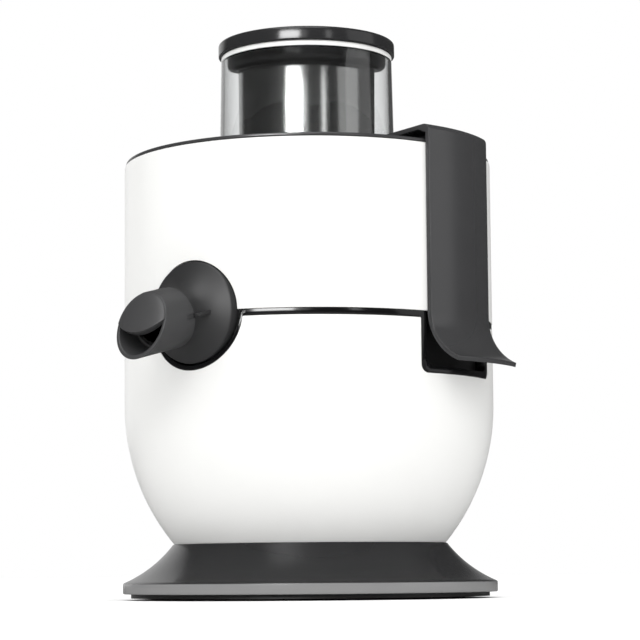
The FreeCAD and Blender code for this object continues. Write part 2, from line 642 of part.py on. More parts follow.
def make_lid():
    low, high, edge = S.lid_low, S.lid_high, S.lid_radius
    hole = chute_at(low.value) + 0.12
    plate = revolve([
        (hole, low - 0.6), (94.6, low - 0.6), (94.6, 232.0), (96.6, 232.0), (96.6, low), (edge, low),
        (edge, high - 0.8), (edge - 0.8, high), (hole, high)])
    lugs, bores = [], []
    for side in (1, -1):
        for flank in (1, -1):
            near = 18.0 if flank > 0 else -24.0
            barrel = cylinder(4.2, 6.0, (side * S.hinge_reach.value, near, S.hinge_height), TO_BACK)
            post = box(8.4, 6.0, 4.6, (side * S.hinge_reach.value - 4.2, near, high - 0.5))
            lugs += [barrel, post]
        bores.append(cylinder(S.hinge_pin, 60, (side * S.hinge_reach.value, -30, S.hinge_height), TO_BACK))
    node(cut(fuse(plate, *lugs), *bores), "lid_plate")
    node(ring(S.pulp_outer, S.pulp_outer - 2.2, S.pulp_top, low), "lid_gasket")

    wall = S.chute_wall
    flange = low - 3.0
    node(revolve([
        (S.chute_foot_radius - wall, S.chute_bottom), (S.chute_foot_radius, S.chute_bottom),
        (chute_at(flange.value), flange), (56.0, flange), (56.0, low - 0.6), (chute_at(low.value - 0.6), low - 0.6),
        (S.chute_radius, S.chute_top), (S.chute_radius - wall, S.chute_top)]), "feed_chute")
    node(ring(S.chute_radius, S.chute_radius - wall, S.chute_top, S.chute_top + S.seal_height), "chute_rim_seal")


def make_clamp(side, name, tip):
    """A clamp arm: face, lip flared out down to its tip, top plate with ribs, and hinge barrel near the chute."""
    outer, inner = S.arm_outer, S.arm_inner
    centre = outer.value + S.arm_curve.value
    skin = centre - inner.value
    top = S.arm_top

    def flare(radius, height):
        return centre - math.sqrt(radius ** 2 - (S.upper_bottom.value - height) ** 2)

    blunt = tip + S.lip_blunt
    near = (tip.value + S.upper_bottom.value) / 2
    arm = revolve([
        (flare(skin, tip.value), tip), (flare(S.arm_curve.value, blunt.value), blunt),
        ("arc", flare(S.arm_curve.value, near), near),
        (outer, S.upper_bottom), (outer, top - 3.0), ("arc", outer - 0.88, top - 0.88), (outer - 3.0, top),
        (70.0, top - 4.6), (64.0, top - 5.2), (64.0, top - 7.6), (70.0, top - 7.2), (98.0, top - 3.1),
        (inner, top - 5.0), (inner, S.upper_bottom), ("arc", flare(skin, near), near)])
    half = S.arm_half
    reach = 66.6
    strip = box(60, half * 2, 150, (reach if side > 0 else -reach - 60.0, -half, 110))
    ribs = []
    for offset in (-14.0, 0.0, 14.0):
        ribs.append(pad([(72.0, 243.5), (99.0, 243.5), (103.5, 239.0), (103.5, 247.0), (98.0, 247.9),
                         (72.0, 244.3)], 2.0, plane="XZ_Plane", middle=True))
        spin = Rotation() if side > 0 else Rotation(Vector(0, 0, 1), 180)
        place(ribs[-1], (0, offset, 0), spin)
    barrel = cylinder(S.hinge_barrel, 35.0, (side * S.hinge_reach.value, -17.5, S.hinge_height), TO_BACK)
    bridge = box(reach + 3 - S.hinge_reach.value, 35.0, 1.7,
                 (S.hinge_reach.value if side > 0 else -reach - 3, -17.5, 243.1))
    bore = cylinder(S.hinge_pin + S.running_fit, 60, (side * S.hinge_reach.value, -30, S.hinge_height), TO_BACK)
    node(cut(fuse(common(arm, strip), *ribs, barrel, bridge), bore), f"clamp_arm_{name}")
    node(cylinder(S.hinge_pin, 48.0, (side * S.hinge_reach.value, -24.0, S.hinge_height), TO_BACK),
         f"hinge_pin_{name}")


# ---------------------------------------------------------------- pusher
def make_pusher():
    low = S.chute_top + S.seal_height
    high = low + S.cap_height
    cap = revolve([(0, low), (S.cap_radius - 0.5, low), (S.cap_radius, low + 0.5), (S.cap_radius, high - 1.4),
                   ("arc", S.cap_radius - 0.41, high - 0.41), (S.cap_radius - 1.4, high), (0, high)])
    node(cap, "pusher_cap")
    collar = S.collar_radius
    sleeve = S.sleeve_radius
    node(revolve([(0, low - 3.0), (sleeve - 1.0, low - 3.0), (sleeve - 1.0, S.sleeve_top - 6.0),
                  (sleeve - S.sleeve_wall, S.sleeve_top - 6.0), (sleeve - S.sleeve_wall, S.sleeve_top),
                  (sleeve + 0.6, S.sleeve_top), ("arc", collar - 1.4, S.sleeve_top + 3.2),
                  (collar, S.sleeve_top + 8.0), (collar, low), (0, low)]), "pusher_collar")
    foot_top = S.pusher_bottom + 9.0
    node(ring(sleeve, sleeve - S.sleeve_wall, foot_top, S.sleeve_top), "pusher_sleeve")
    rim = S.foot_disc_radius
    node(revolve([(0, S.pusher_bottom), (rim - 1.0, S.pusher_bottom), (rim, S.pusher_bottom + 1.0),
                  (rim, foot_top - 1.0), (rim - 1.0, foot_top), (sleeve - S.sleeve_wall, foot_top),
                  (sleeve - S.sleeve_wall, foot_top + 4.0), (sleeve - 3.0, foot_top + 4.0),
                  (sleeve - 3.0, foot_top - 6.0), (0, foot_top - 6.0)]), "pusher_foot")


# ---------------------------------------------------------------- controls
def make_controls():
    height = S.knob_height
    face = 101.6
    knob = revolve([(0, 3.0), (S.knob_radius + 1, 3.0), (S.knob_radius + 1, 5.0), (S.knob_radius - 1, 6.5),
                    (S.knob_radius - 2, 15.0), (S.knob_radius - 3.2, 16.2), (0, 16.2)])
    place(knob, (-face, 0, height), TO_LEFT)
    grip = box(5.0, S.knob_radius * 2 - 6, 5.0, (-face - 20.0, 3.0 - S.knob_radius, height - 2.5))
    spindle = cylinder(3.0, 24.0, (-face + 19.0, 0, height), TO_LEFT)
    node(fuse(knob, grip, spindle), "speed_knob")
    plinth = cylinder(S.knob_radius + 3, 8.0, (-face + 5.5, 0, height), TO_LEFT)
    outside = revolve([(0, S.shell_bottom), (belly_at(S.shell_bottom.value), S.shell_bottom),
                       ("arc", belly_at(70), 70), (S.body_radius, S.belly_centre), (S.body_radius, 140),
                       (0, 140)])
    node(cut(plinth, outside, cylinder(4.0, 40, (-80, 0, height), TO_LEFT)), "knob_bezel")
    node(cut(box(14.0, 26.0, 24.0, (-82.0, -13.0, height - 12.0)),
             cylinder(3.4, 12.0, (-74.5, 0, height), TO_LEFT)), "speed_switch")

    node(box(44.0, 1.6, 36.0, (-22.0, 70.0, 62.0)), "control_board")
    boss = revolve([(0, 0), (11.0, 0), (11.0, 14.0), (9.5, 15.5), (0, 15.5)])
    place(boss, (0, 78.0, S.gland_height), TO_BACK)
    spigot = cylinder(S.gland_spigot, 10.0, (0, 81.0, S.gland_height), TO_BACK)
    bore = cylinder(S.gland_bore, 30.0, (0, 75.0, S.gland_height), TO_BACK)
    node(cut(fuse(cut(boss, outside), spigot), bore), "cord_gland")

    spot = S.plunger_height
    node(fuse(cylinder(2.6, 21.4, (80.9, 0, spot), TO_RIGHT), cylinder(4.6, 1.0, (86.9, 0, spot), TO_RIGHT)),
         "interlock_plunger")
    coil = [torus(3.5, 0.35, (81.2 + 1.05 * turn, 0, spot), TO_RIGHT) for turn in range(6)]
    links = [cylinder(0.3, 5.3, (81.2, 0, spot + 3.5), TO_RIGHT)]
    node(fuse(*coil, *links), "interlock_spring")
    node(box(6.0, 20.0, 12.0, (74.5, -10.0, spot - 6.0)), "interlock_switch")


make_base()
make_housing()
make_deck()
make_motor()
make_drive()
make_collector()
make_spout()
make_lid()
make_clamp(1, "right", S.lip_tip)
make_clamp(-1, "left", S.short_lip_tip)
make_pusher()
make_controls()
doc.recompute()

# ---------------------------------------------------------------- checks and files
for thing in doc.Objects:
    if "Invalid" in thing.State or "Error" in thing.State:
        raise RuntimeError(f"{thing.Label} did not build: {thing.State}")
os.makedirs("parts", exist_ok=True)
for thing in NODES:
    shape = thing.Shape
    if shape.isNull() or not shape.isValid() or not shape.Solids:
        raise RuntimeError(f"{thing.Label} has no valid solid")
    shape.exportStep(f"parts/{thing.Label}.step")
    box_size = shape.BoundBox
    print(f"{thing.Label}: {len(shape.Solids)} solid(s), {shape.Volume / 1000:.2f} cm3, "
          f"z {box_size.ZMin:.2f} to {box_size.ZMax:.2f}")
print(len(NODES), "nodes")
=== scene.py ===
"""Upright centrifugal juicer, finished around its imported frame.

Every piece is in metres in the frame's own axes; outlines are written in millimetres.
The spout points to -Y, the clamps sit at +X and -X, and the table is at height zero.
"""
import json
import math

import bpy
from bpy.props import FloatProperty, FloatVectorProperty, IntProperty, PointerProperty
from bpy.types import Operator, Panel, PropertyGroup
from mathutils import Matrix, Vector


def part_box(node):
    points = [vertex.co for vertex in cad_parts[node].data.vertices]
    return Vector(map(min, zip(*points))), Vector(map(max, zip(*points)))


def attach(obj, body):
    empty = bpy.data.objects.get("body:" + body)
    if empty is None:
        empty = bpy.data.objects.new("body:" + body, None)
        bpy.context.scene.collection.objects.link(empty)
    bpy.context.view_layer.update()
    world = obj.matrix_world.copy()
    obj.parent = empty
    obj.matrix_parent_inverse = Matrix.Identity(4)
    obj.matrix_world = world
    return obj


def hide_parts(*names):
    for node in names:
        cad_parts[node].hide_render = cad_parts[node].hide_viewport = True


bl_info = {
    "name": "Centrifugal Juicer",
    "version": (1, 0, 0),
    "blender": (4, 5, 0),
    "location": "View3D > Sidebar > Juicer",
    "description": "Models a centrifugal juicer's pieces around its frame and gives each one its finish",
    "category": "Mesh",
}

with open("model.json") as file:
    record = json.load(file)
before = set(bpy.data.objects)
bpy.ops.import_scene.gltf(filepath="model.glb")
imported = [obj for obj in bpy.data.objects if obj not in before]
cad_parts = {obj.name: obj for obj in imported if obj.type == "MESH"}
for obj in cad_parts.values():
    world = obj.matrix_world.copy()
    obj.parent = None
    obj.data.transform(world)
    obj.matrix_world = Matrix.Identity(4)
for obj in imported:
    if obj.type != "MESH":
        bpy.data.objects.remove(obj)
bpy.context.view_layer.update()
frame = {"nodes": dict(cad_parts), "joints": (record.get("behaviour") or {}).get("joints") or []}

MM = 0.001
WELD = 1e-6
TURN = math.tau


def low_of(node):
    """Lowest corner of a frame node, in millimetres."""
    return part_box(node)[0] / MM


def high_of(node):
    """Highest corner of a frame node, in millimetres."""
    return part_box(node)[1] / MM


def linear(code):
    """Turn an sRGB hex colour into linear red, green and blue."""
    shares = [int(code[i:i + 2], 16) / 255 for i in (1, 3, 5)]
    return tuple(c / 12.92 if c <= 0.04045 else ((c + 0.055) / 1.055) ** 2.4 for c in shares)


# ---------------------------------------------------------------- measures taken from the frame
BODY = high_of("upper_shell").y
LOWER_TOP = high_of("lower_shell").z
UPPER_LOW = low_of("upper_shell").z
UPPER_TOP = high_of("upper_shell").z
SHELL_LOW = low_of("lower_shell").z
SPOUT_JOINT = [joint for joint in frame["joints"] if joint["name"] == "spout_turn"][0]
SPOUT_AXIS = Vector(SPOUT_JOINT["axis"])
SPOUT_TILT = math.asin(-SPOUT_AXIS.z)
SPOUT_SEAT = 25.0  # the nozzle's joint stands this far out along the spout
SPOUT_START = Vector(SPOUT_JOINT["pos_m"]) / MM - SPOUT_AXIS * SPOUT_SEAT
SPOUT_HEIGHT = SPOUT_START.z
RECESS_LOW = low_of("seam_trim").z
TRIM_TOP = high_of("seam_trim").z
KNOB_HEIGHT = (low_of("knob_bezel").z + high_of("knob_bezel").z) / 2
INLET_HEIGHT = (low_of("cord_gland").z + high_of("cord_gland").z) / 2
DECK_LOW = low_of("motor_deck").z
ARM_TOP = high_of("clamp_arm_right").z

# ---------------------------------------------------------------- measures shared by pieces, in millimetres
BELLY_HEIGHT = 106.0
BELLY_BOW = 118.8
WALL = 2.6
RECESS_HALF = 31.9
FLANGE_INNER = 60.0
SPOUT_NOTCH = 30.5
BELL_RADIUS = 27.0
BELL_NECK = 14.3
PIPE_RADIUS = 12.5
SKIRT_RIM_TOP = 8.8
SKIRT_NECK = 75.6
HINGE_REACH = 60.0
HINGE_HEIGHT = 245.4
ARM_OUTER = 104.9
ARM_INNER = 102.6
ARM_CURVE = 27.2
LIP_TIPS = {"right": 122.6, "left": 136.0}

# Sockets of a colour mix node
MIX_FACTOR, MIX_A, MIX_B, MIX_RESULT = 0, 6, 7, 2


# ---------------------------------------------------------------- settings
class JuicerSizes(PropertyGroup):
    """Sizes that shape the pieces beyond what the frame fixes."""

    steps: IntProperty(name="Turned steps", description="Faces round a turned piece", default=192, min=48)
    trim_edge: FloatProperty(
        name="Trim edge", description="Rounding along the black trim", default=0.45 * MM, unit="LENGTH")
    arm_edge: FloatProperty(
        name="Clamp edge", description="Rounding along the clamp arms", default=0.9 * MM, unit="LENGTH")
    visor_bulge: FloatProperty(
        name="Visor bulge", description="How far the nozzle's visor domes", default=3.4 * MM, unit="LENGTH")
    basket_columns: IntProperty(
        name="Basket columns", description="Slots round the filter", default=150, min=24)
    basket_rows: IntProperty(name="Basket rows", description="Rows of slots up the filter", default=16, min=4)
    knob_flutes: IntProperty(name="Knob flutes", description="Grip flutes round the knob", default=24, min=6)


def colour(name, code, description):
    """A colour setting that starts from an sRGB hex value."""
    return FloatVectorProperty(
        name=name, description=description, subtype="COLOR", size=3, min=0.0, max=1.0, default=linear(code))


class JuicerColours(PropertyGroup):
    """Colours of the finishes."""

    white_abs: colour("White ABS", "#EAEAE8", "Housing")
    charcoal_abs: colour("Charcoal ABS", "#3A3A3B", "Clamps, spout and lid")
    bell_abs: colour("Bell ABS", "#262627", "Spout bell")
    skirt_abs: colour("Skirt ABS", "#272728", "Base skirt")
    # Lighter grey for the skirt's foot band: a painted highlight standing in for the floor's light caught by
    # the rim.
    rim_abs: colour("Rim ABS", "#858585", "Painted highlight band round the base skirt's rim")
    black_abs: colour("Black ABS", "#171718", "Inner mouldings")
    gloss_black: colour("Gloss black", "#0E0E0F", "Trim and recess frames")
    cap_abs: colour("Cap ABS", "#29292A", "Pusher cap")
    clear_san: colour("Clear SAN", "#FBFCFC", "Feed chute")
    smoked_san: colour("Smoked SAN", "#6B6E72", "Juice and pulp containers")
    steel: colour("Stainless steel", "#C9C9C7", "Basket, pins and shaft")
    sleeve_steel: colour("Sleeve steel", "#B4B4B3", "Brushed sleeve of the pusher")
    titanium: colour("Titanium coat", "#8C8276", "Grating disc")
    silicone: colour("White silicone", "#F0F0EE", "Chute rim seal")
    rubber: colour("Black rubber", "#1A1A1B", "Feet, gasket and mounts")
    copper: colour("Enamelled copper", "#B4562A", "Windings")
    brass: colour("Brass", "#C9A65A", "Brush holders")
    aluminium: colour("Cast aluminium", "#B9BBBD", "Motor brackets")
    iron: colour("Electrical steel", "#6A6C70", "Motor stack")
    nylon: colour("Glass-filled nylon", "#2A2B2D", "Coupling, hub and fan")
    board: colour("Circuit board", "#14532D", "Speed control board")


class JuicerStage(PropertyGroup):
    """Camera and lights."""

    azimuth: FloatProperty(
        name="Azimuth", description="Camera's turn from the front", default=math.radians(36.7),
        subtype="ANGLE")
    distance: FloatProperty(
        name="Distance", description="Camera to the juicer's axis", default=1.294, unit="LENGTH")
    height: FloatProperty(
        name="Height", description="Camera above the table", default=14.1 * MM, unit="LENGTH")
    aim: FloatProperty(
        name="Aim", description="Small turn away from the axis", default=math.radians(-0.286),
        subtype="ANGLE")
    pitch: FloatProperty(
        name="Pitch", description="Camera's upward tilt", default=math.radians(6.187), subtype="ANGLE")
    roll: FloatProperty(
        name="Roll", description="Camera's roll", default=math.radians(-0.474), subtype="ANGLE")
    lens: FloatProperty(name="Lens", description="Focal length in millimetres", default=131.2, unit="CAMERA")
    floor: colour("Floor", "#F7F7F7", "Pale floor")


# ---------------------------------------------------------------- modelling helpers, all by operators
def settings():
    """The sizes in the sidebar."""
    return bpy.context.scene.juicer_sizes


def clear_selection():
    """Leave edit mode and select nothing."""
    active = bpy.context.view_layer.objects.active
    if active is not None and active.mode != "OBJECT":
        bpy.ops.object.mode_set(mode="OBJECT")
    bpy.ops.object.select_all(action="DESELECT")


def pick(piece):
    """Select one piece and make it active."""
    clear_selection()
    piece.select_set(True)
    bpy.context.view_layer.objects.active = piece
    return piece


def christen(name):
    """Name the piece that an operator has just added."""
    piece = bpy.context.view_layer.objects.active
    piece.name = name
    piece.data.name = name
    return piece


def weld(piece):
    """Merge doubles, turn every face outwards and return to object mode."""
    bpy.ops.mesh.select_all(action="SELECT")
    bpy.ops.mesh.remove_doubles(threshold=WELD)
    bpy.ops.mesh.normals_make_consistent(inside=False)
    bpy.ops.object.mode_set(mode="OBJECT")
    return piece


def closed(piece):
    """Fill every hole in a piece, then weld it."""
    pick(piece)
    bpy.ops.object.mode_set(mode="EDIT")
    bpy.ops.mesh.select_all(action="SELECT")
    bpy.ops.mesh.remove_doubles(threshold=WELD)
    bpy.ops.mesh.fill_holes(sides=0)
    return weld(piece)


def draw(name, points):
    """Draw a chain of edges by extruding one vertex from point to point; stays in edit mode."""
    clear_selection()
    bpy.ops.mesh.primitive_plane_add(size=MM, location=(0, 0, 0))
    piece = christen(name)
    bpy.ops.object.mode_set(mode="EDIT")
    bpy.ops.mesh.select_all(action="SELECT")
    bpy.ops.mesh.merge(type="CENTER")
    bpy.ops.transform.translate(value=points[0])
    for here, there in zip(points, points[1:]):
        bpy.ops.mesh.extrude_region_move(TRANSFORM_OT_translate={"value": there - here})
    return piece


def turned(name, outline, steps=None, angle=TURN):
    """Spin an outline of (radius, height) round the upright axis; one off the axis is closed first."""
    points = [Vector((r, 0, z)) * MM for r, z in outline]
    if outline[0][0] > 0:
        points.append(points[0])
    piece = draw(name, points)
    bpy.ops.mesh.select_all(action="SELECT")
    bpy.ops.mesh.spin(steps=steps or settings().steps, angle=angle, center=(0, 0, 0), axis=(0, 0, 1))
    return weld(piece)


def pushed(name, points, push):
    """Fill a flat closed outline and push it out along a vector."""
    corners = [Vector(p) * MM for p in points]
    piece = draw(name, corners + corners[:1])
    bpy.ops.mesh.select_all(action="SELECT")
    bpy.ops.mesh.remove_doubles(threshold=WELD)
    bpy.ops.mesh.edge_face_add()
    bpy.ops.mesh.extrude_region_move(TRANSFORM_OT_translate={"value": Vector(push) * MM})
    return weld(piece)


def rod(name, radius, start, end, sides=64):
    """A round bar between two points."""
    start = Vector(start) * MM
    along = Vector(end) * MM - start
    clear_selection()
    bpy.ops.mesh.primitive_cylinder_add(
        vertices=sides, radius=radius * MM, depth=along.length, location=start + along / 2,
        rotation=along.to_track_quat("Z", "Y").to_euler())
    bpy.ops.object.transform_apply()
    return christen(name)


def block(name, low, high):
    """A box between two corners."""
    low = Vector(low) * MM
    high = Vector(high) * MM
    clear_selection()
    bpy.ops.mesh.primitive_cube_add(size=1, location=(low + high) / 2, scale=high - low)
    bpy.ops.object.transform_apply()
    return christen(name)


def place(piece, matrix):
    """Move a piece by a matrix whose shift is in millimetres, and bake the move into its mesh."""
    pick(piece)
    piece.matrix_world = Matrix.Translation(matrix.to_translation() * MM) @ matrix.to_3x3().to_4x4()
    bpy.ops.object.transform_apply()
    return piece


def combine(piece, others, operation):
    """Join, cut or intersect a piece with others, which are used up."""
    for other in others:
        pick(piece)
        bpy.ops.object.modifier_add(type="BOOLEAN")
        change = piece.modifiers[-1]
        change.operation = operation
        change.solver = "EXACT"
        change.object = other
        bpy.ops.object.modifier_apply(modifier=change.name)
        pick(other)
        bpy.ops.object.delete()
    return pick(piece)


def cut(piece, *tools):
    """Cut tools out of a piece."""
    return combine(piece, tools, "DIFFERENCE")


def union(piece, *others):
    """Melt other solids into a piece."""
    return combine(piece, others, "UNION")


def ring(piece, count, first=0.0):
    """Turn a piece about the upright axis and repeat it at even steps, each copy with its own mesh."""
    pieces = [place(piece, Matrix.Rotation(first, 4, "Z"))]
    for step in range(1, count):
        pick(piece)
        bpy.ops.object.duplicate()
        copy = bpy.context.view_layer.objects.active
        pieces.append(place(copy, Matrix.Rotation(TURN * step / count, 4, "Z")))
    return pieces


def gather(piece, *others):
    """Join separate solids into one piece, each kept whole."""
    clear_selection()
    for other in others:
        other.select_set(True)
    piece.select_set(True)
    bpy.context.view_layer.objects.active = piece
    bpy.ops.object.join()
    return piece


def soften(piece, width, segments=3, angle=35, clamp=True):
    """Round every edge sharper than an angle; unclamped, the width holds beside short edges too."""
    pick(piece)
    bpy.ops.object.modifier_add(type="BEVEL")
    change = piece.modifiers[-1]
    change.width = width
    change.segments = segments
    change.limit_method = "ANGLE"
    change.angle_limit = math.radians(angle)
    change.use_clamp_overlap = clamp
    bpy.ops.object.modifier_apply(modifier=change.name)
    return piece


def mount(piece, body, nodes, finish, angle=32):
    """Shade a finished piece, give it its material, tie it to its body and hide the frame nodes that it
    stands for.
    """
    pick(piece)
    bpy.ops.object.shade_smooth_by_angle(angle=math.radians(angle))
    piece.data.materials.clear()
    piece.data.materials.append(finish)
    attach(piece, body)
    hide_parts(*nodes)
    return piece


def arc(centre, radius, start, end, count):
    """Points along an arc, angles in degrees."""
    spots = []
    for i in range(count + 1):
        angle = math.radians(start + (end - start) * i / count)
        spots.append((centre[0] + radius * math.cos(angle), centre[1] + radius * math.sin(angle)))
    return spots


def bowed(start, through, end, count):
    """Points on the arc through three points."""
    (ax, ay), (bx, by), (cx, cy) = start, through, end
    twice = 2 * (ax * (by - cy) + bx * (cy - ay) + cx * (ay - by))
    a, b, c = ax * ax + ay * ay, bx * bx + by * by, cx * cx + cy * cy
    centre = ((a * (by - cy) + b * (cy - ay) + c * (ay - by)) / twice,
              (a * (cx - bx) + b * (ax - cx) + c * (bx - ax)) / twice)
    turns = [math.degrees(math.atan2(y - centre[1], x - centre[0])) for x, y in (start, end)]
    sweep = (turns[1] - turns[0] + 180) % 360 - 180
    return arc(centre, math.dist(centre, start), turns[0], turns[0] + sweep, count)


def rounded(corners, count=4):
    """Outline points from corners; a corner's third value is the radius that rounds it."""
    points = []
    for i, corner in enumerate(corners):
        here = Vector(corner[:2])
        if len(corner) == 2:
            points.append(tuple(here))
            continue
        before = (Vector(corners[i - 1][:2]) - here).normalized()
        after = (Vector(corners[(i + 1) % len(corners)][:2]) - here).normalized()
        half = before.angle(after) / 2
        centre = here + (before + after).normalized() * corner[2] / math.sin(half)
        start = here + before * corner[2] / math.tan(half) - centre
        end = here + after * corner[2] / math.tan(half) - centre
        sweep = start.angle_signed(end)
        for k in range(count + 1):
            turn = Matrix.Rotation(-sweep * k / count, 2)
            points.append(tuple(centre + turn @ start))
    return points


def along_spout(length):
    """A point on the spout's axis, counted outwards from the housing's surface."""
    return SPOUT_START + SPOUT_AXIS * length


def spout_frame(length):
    """Matrix that puts local +Z along the spout and local +X to its right, at a length along its axis."""
    right = Vector((1, 0, 0))
    across = SPOUT_AXIS.cross(right)
    turn = Matrix((right, across, SPOUT_AXIS)).transposed()
    return Matrix.Translation(along_spout(length)) @ turn.to_4x4()


# ---------------------------------------------------------------- materials
def add_node(tree, kind, values=None, links=None):
    """Add one node; values are its settings or sockets, links are sockets fed by other nodes' outputs."""
    made = tree.nodes.new(kind)
    for name, value in (values or {}).items():
        if isinstance(name, str) and hasattr(made, name):
            setattr(made, name, value)
        else:
            made.inputs[name].default_value = value
    for name, source in (links or {}).items():
        tree.links.new(source, made.inputs[name])
    return made


def new_material(name, colour, roughness, metallic=0.0, ior=1.5):
    """A material with its shader set to constants, and the object coordinates for its patterns."""
    material = bpy.data.materials.new(name)
    material.use_nodes = True
    material.diffuse_color = (*colour, 1.0)
    tree = material.node_tree
    shader = tree.nodes["Principled BSDF"]
    shader.inputs["Base Color"].default_value = (*colour, 1.0)
    shader.inputs["Roughness"].default_value = roughness
    shader.inputs["Metallic"].default_value = metallic
    shader.inputs["IOR"].default_value = ior
    spot = add_node(tree, "ShaderNodeTexCoord").outputs["Object"]
    return material, tree, shader, spot


def scale_of(size):
    """Pattern scale that repeats about once in a size given in millimetres."""
    return 1.0 / (size * MM)


def vary(tree, shader, spot, colour, tone, size, roughness, spread):
    """Let colour and gloss wander slightly over a distance in millimetres."""
    wander = add_node(tree, "ShaderNodeTexNoise", {"Scale": scale_of(size), "Detail": 3.0}, {"Vector": spot})
    gloss = add_node(tree, "ShaderNodeMapRange", {"To Min": roughness - spread, "To Max": roughness + spread},
                     {"Value": wander.outputs["Fac"]})
    tree.links.new(gloss.outputs["Result"], shader.inputs["Roughness"])
    ramp = add_node(tree, "ShaderNodeValToRGB", {}, {"Fac": wander.outputs["Fac"]})
    ramp.color_ramp.elements[0].position = 0.3
    ramp.color_ramp.elements[1].position = 0.7
    ramp.color_ramp.elements[0].color = (*[c * (1 - tone) for c in colour], 1.0)
    ramp.color_ramp.elements[1].color = (*[min(1.0, c * (1 + tone)) for c in colour], 1.0)
    tree.links.new(ramp.outputs["Color"], shader.inputs["Base Color"])
    return ramp


def emboss(tree, shader, height, strength, depth):
    """Feed a height into the shader's normal; depth is in millimetres."""
    bump = add_node(
        tree, "ShaderNodeBump", {"Strength": strength, "Distance": depth * MM}, {"Height": height})
    tree.links.new(bump.outputs["Normal"], shader.inputs["Normal"])


def moulded_plastic(name, colour, roughness=0.4, ior=1.53, grain=0.9, depth=0.012, tone=0.03):
    """Injection-moulded ABS: an even colour and a fine spark-eroded grain that softens the reflections.

    The real grain is about 0.1 mm; it is drawn near 1 mm so that it shows.
    """
    material, tree, shader, spot = new_material(name, colour, roughness, ior=ior)
    vary(tree, shader, spot, colour, tone, 24, roughness, 0.03)
    pits = add_node(tree, "ShaderNodeTexNoise", {"Scale": scale_of(grain), "Detail": 2.0}, {"Vector": spot})
    emboss(tree, shader, pits.outputs["Fac"], 0.5, depth)
    return material


def skirt_plastic(name, colour, rim, rim_top, roughness=0.22):
    """Moulded ABS skirt: grained dark slope above a lighter grey band round its foot; the band is a painted
    highlight on the rim.
    """
    material, tree, shader, spot = new_material(name, colour, roughness, ior=1.53)
    ramp = vary(tree, shader, spot, colour, 0.04, 24, roughness, 0.03)
    # Below the rim's top the base colour is mixed to the lighter rim colour: a painted highlight band.
    height = add_node(tree, "ShaderNodeSeparateXYZ", {}, {"Vector": spot})
    band = add_node(tree, "ShaderNodeMapRange",
                    {"From Min": (rim_top - 0.25) * MM, "From Max": (rim_top + 0.25) * MM, "To Min": 1.0,
                     "To Max": 0.0}, {"Value": height.outputs["Z"]})
    rim_highlight_mix = add_node(tree, "ShaderNodeMix", {"data_type": "RGBA", MIX_B: (*rim, 1.0)},
                   {MIX_FACTOR: band.outputs["Result"], MIX_A: ramp.outputs["Color"]})
    tree.links.new(rim_highlight_mix.outputs[MIX_RESULT], shader.inputs["Base Color"])
    pits = add_node(tree, "ShaderNodeTexNoise", {"Scale": scale_of(0.9), "Detail": 2.0}, {"Vector": spot})
    emboss(tree, shader, pits.outputs["Fac"], 0.12, 0.008)
    return material


def brushed_steel(name, colour, roughness=0.16):
    """Stainless tube brushed along its length: fine upright scratches over a bright, slightly blurred mirror.

    Real brushing lines are about 0.1 mm apart; they are drawn near 0.6 mm so that they show.
    """
    material, tree, shader, spot = new_material(name, colour, roughness, metallic=1.0)
    stretch = add_node(tree, "ShaderNodeMapping", {"Scale": (1.0, 1.0, 0.012)}, {"Vector": spot})
    lines = add_node(tree, "ShaderNodeTexNoise", {"Scale": scale_of(0.6), "Detail": 4.0},
                     {"Vector": stretch.outputs["Vector"]})
    gloss = add_node(tree, "ShaderNodeMapRange", {"To Min": roughness - 0.05, "To Max": roughness + 0.07},
                     {"Value": lines.outputs["Fac"]})
    tree.links.new(gloss.outputs["Result"], shader.inputs["Roughness"])
    emboss(tree, shader, lines.outputs["Fac"], 0.14, 0.012)
    return material


def turned_metal(name, colour, roughness=0.26, pitch=0.5, tone=0.05):
    """Machined or pressed metal: rings left by turning, with a slight wander in its tone."""
    material, tree, shader, spot = new_material(name, colour, roughness, metallic=1.0)
    vary(tree, shader, spot, colour, tone, 9, roughness, 0.06)
    rings = add_node(tree, "ShaderNodeTexWave",
                     {"wave_type": "BANDS", "bands_direction": "Z", "Scale": scale_of(pitch) / TURN,
                      "Distortion": 0.4}, {"Vector": spot})
    emboss(tree, shader, rings.outputs["Fac"], 0.15, 0.01)
    return material


def coated_metal(name, colour, roughness=0.33):
    """Nitride-coated steel: a satin metallic film with a faint speckle."""
    material, tree, shader, spot = new_material(name, colour, roughness, metallic=1.0)
    vary(tree, shader, spot, colour, 0.12, 3, roughness, 0.08)
    return material


def clear_plastic(name, colour, roughness=0.02):
    """Clear SAN, polished in the mould: sharp refraction at the wall and faint flow lines."""
    material, tree, shader, spot = new_material(name, colour, roughness, ior=1.57)
    shader.inputs["Transmission Weight"].default_value = 1.0
    stretch = add_node(tree, "ShaderNodeMapping", {"Scale": (1.0, 1.0, 0.15)}, {"Vector": spot})
    flow = add_node(tree, "ShaderNodeTexNoise", {"Scale": scale_of(14), "Detail": 1.0},
                    {"Vector": stretch.outputs["Vector"]})
    emboss(tree, shader, flow.outputs["Fac"], 0.12, 0.3)
    return material


def soft_rubber(name, colour, roughness=0.62):
    """Moulded rubber or silicone: matt, with a dusty broad highlight and a fine skin."""
    material, tree, shader, spot = new_material(name, colour, roughness, ior=1.45)
    vary(tree, shader, spot, colour, 0.06, 12, roughness, 0.05)
    skin = add_node(tree, "ShaderNodeTexNoise", {"Scale": scale_of(0.7), "Detail": 3.0}, {"Vector": spot})
    emboss(tree, shader, skin.outputs["Fac"], 0.4, 0.02)
    return material


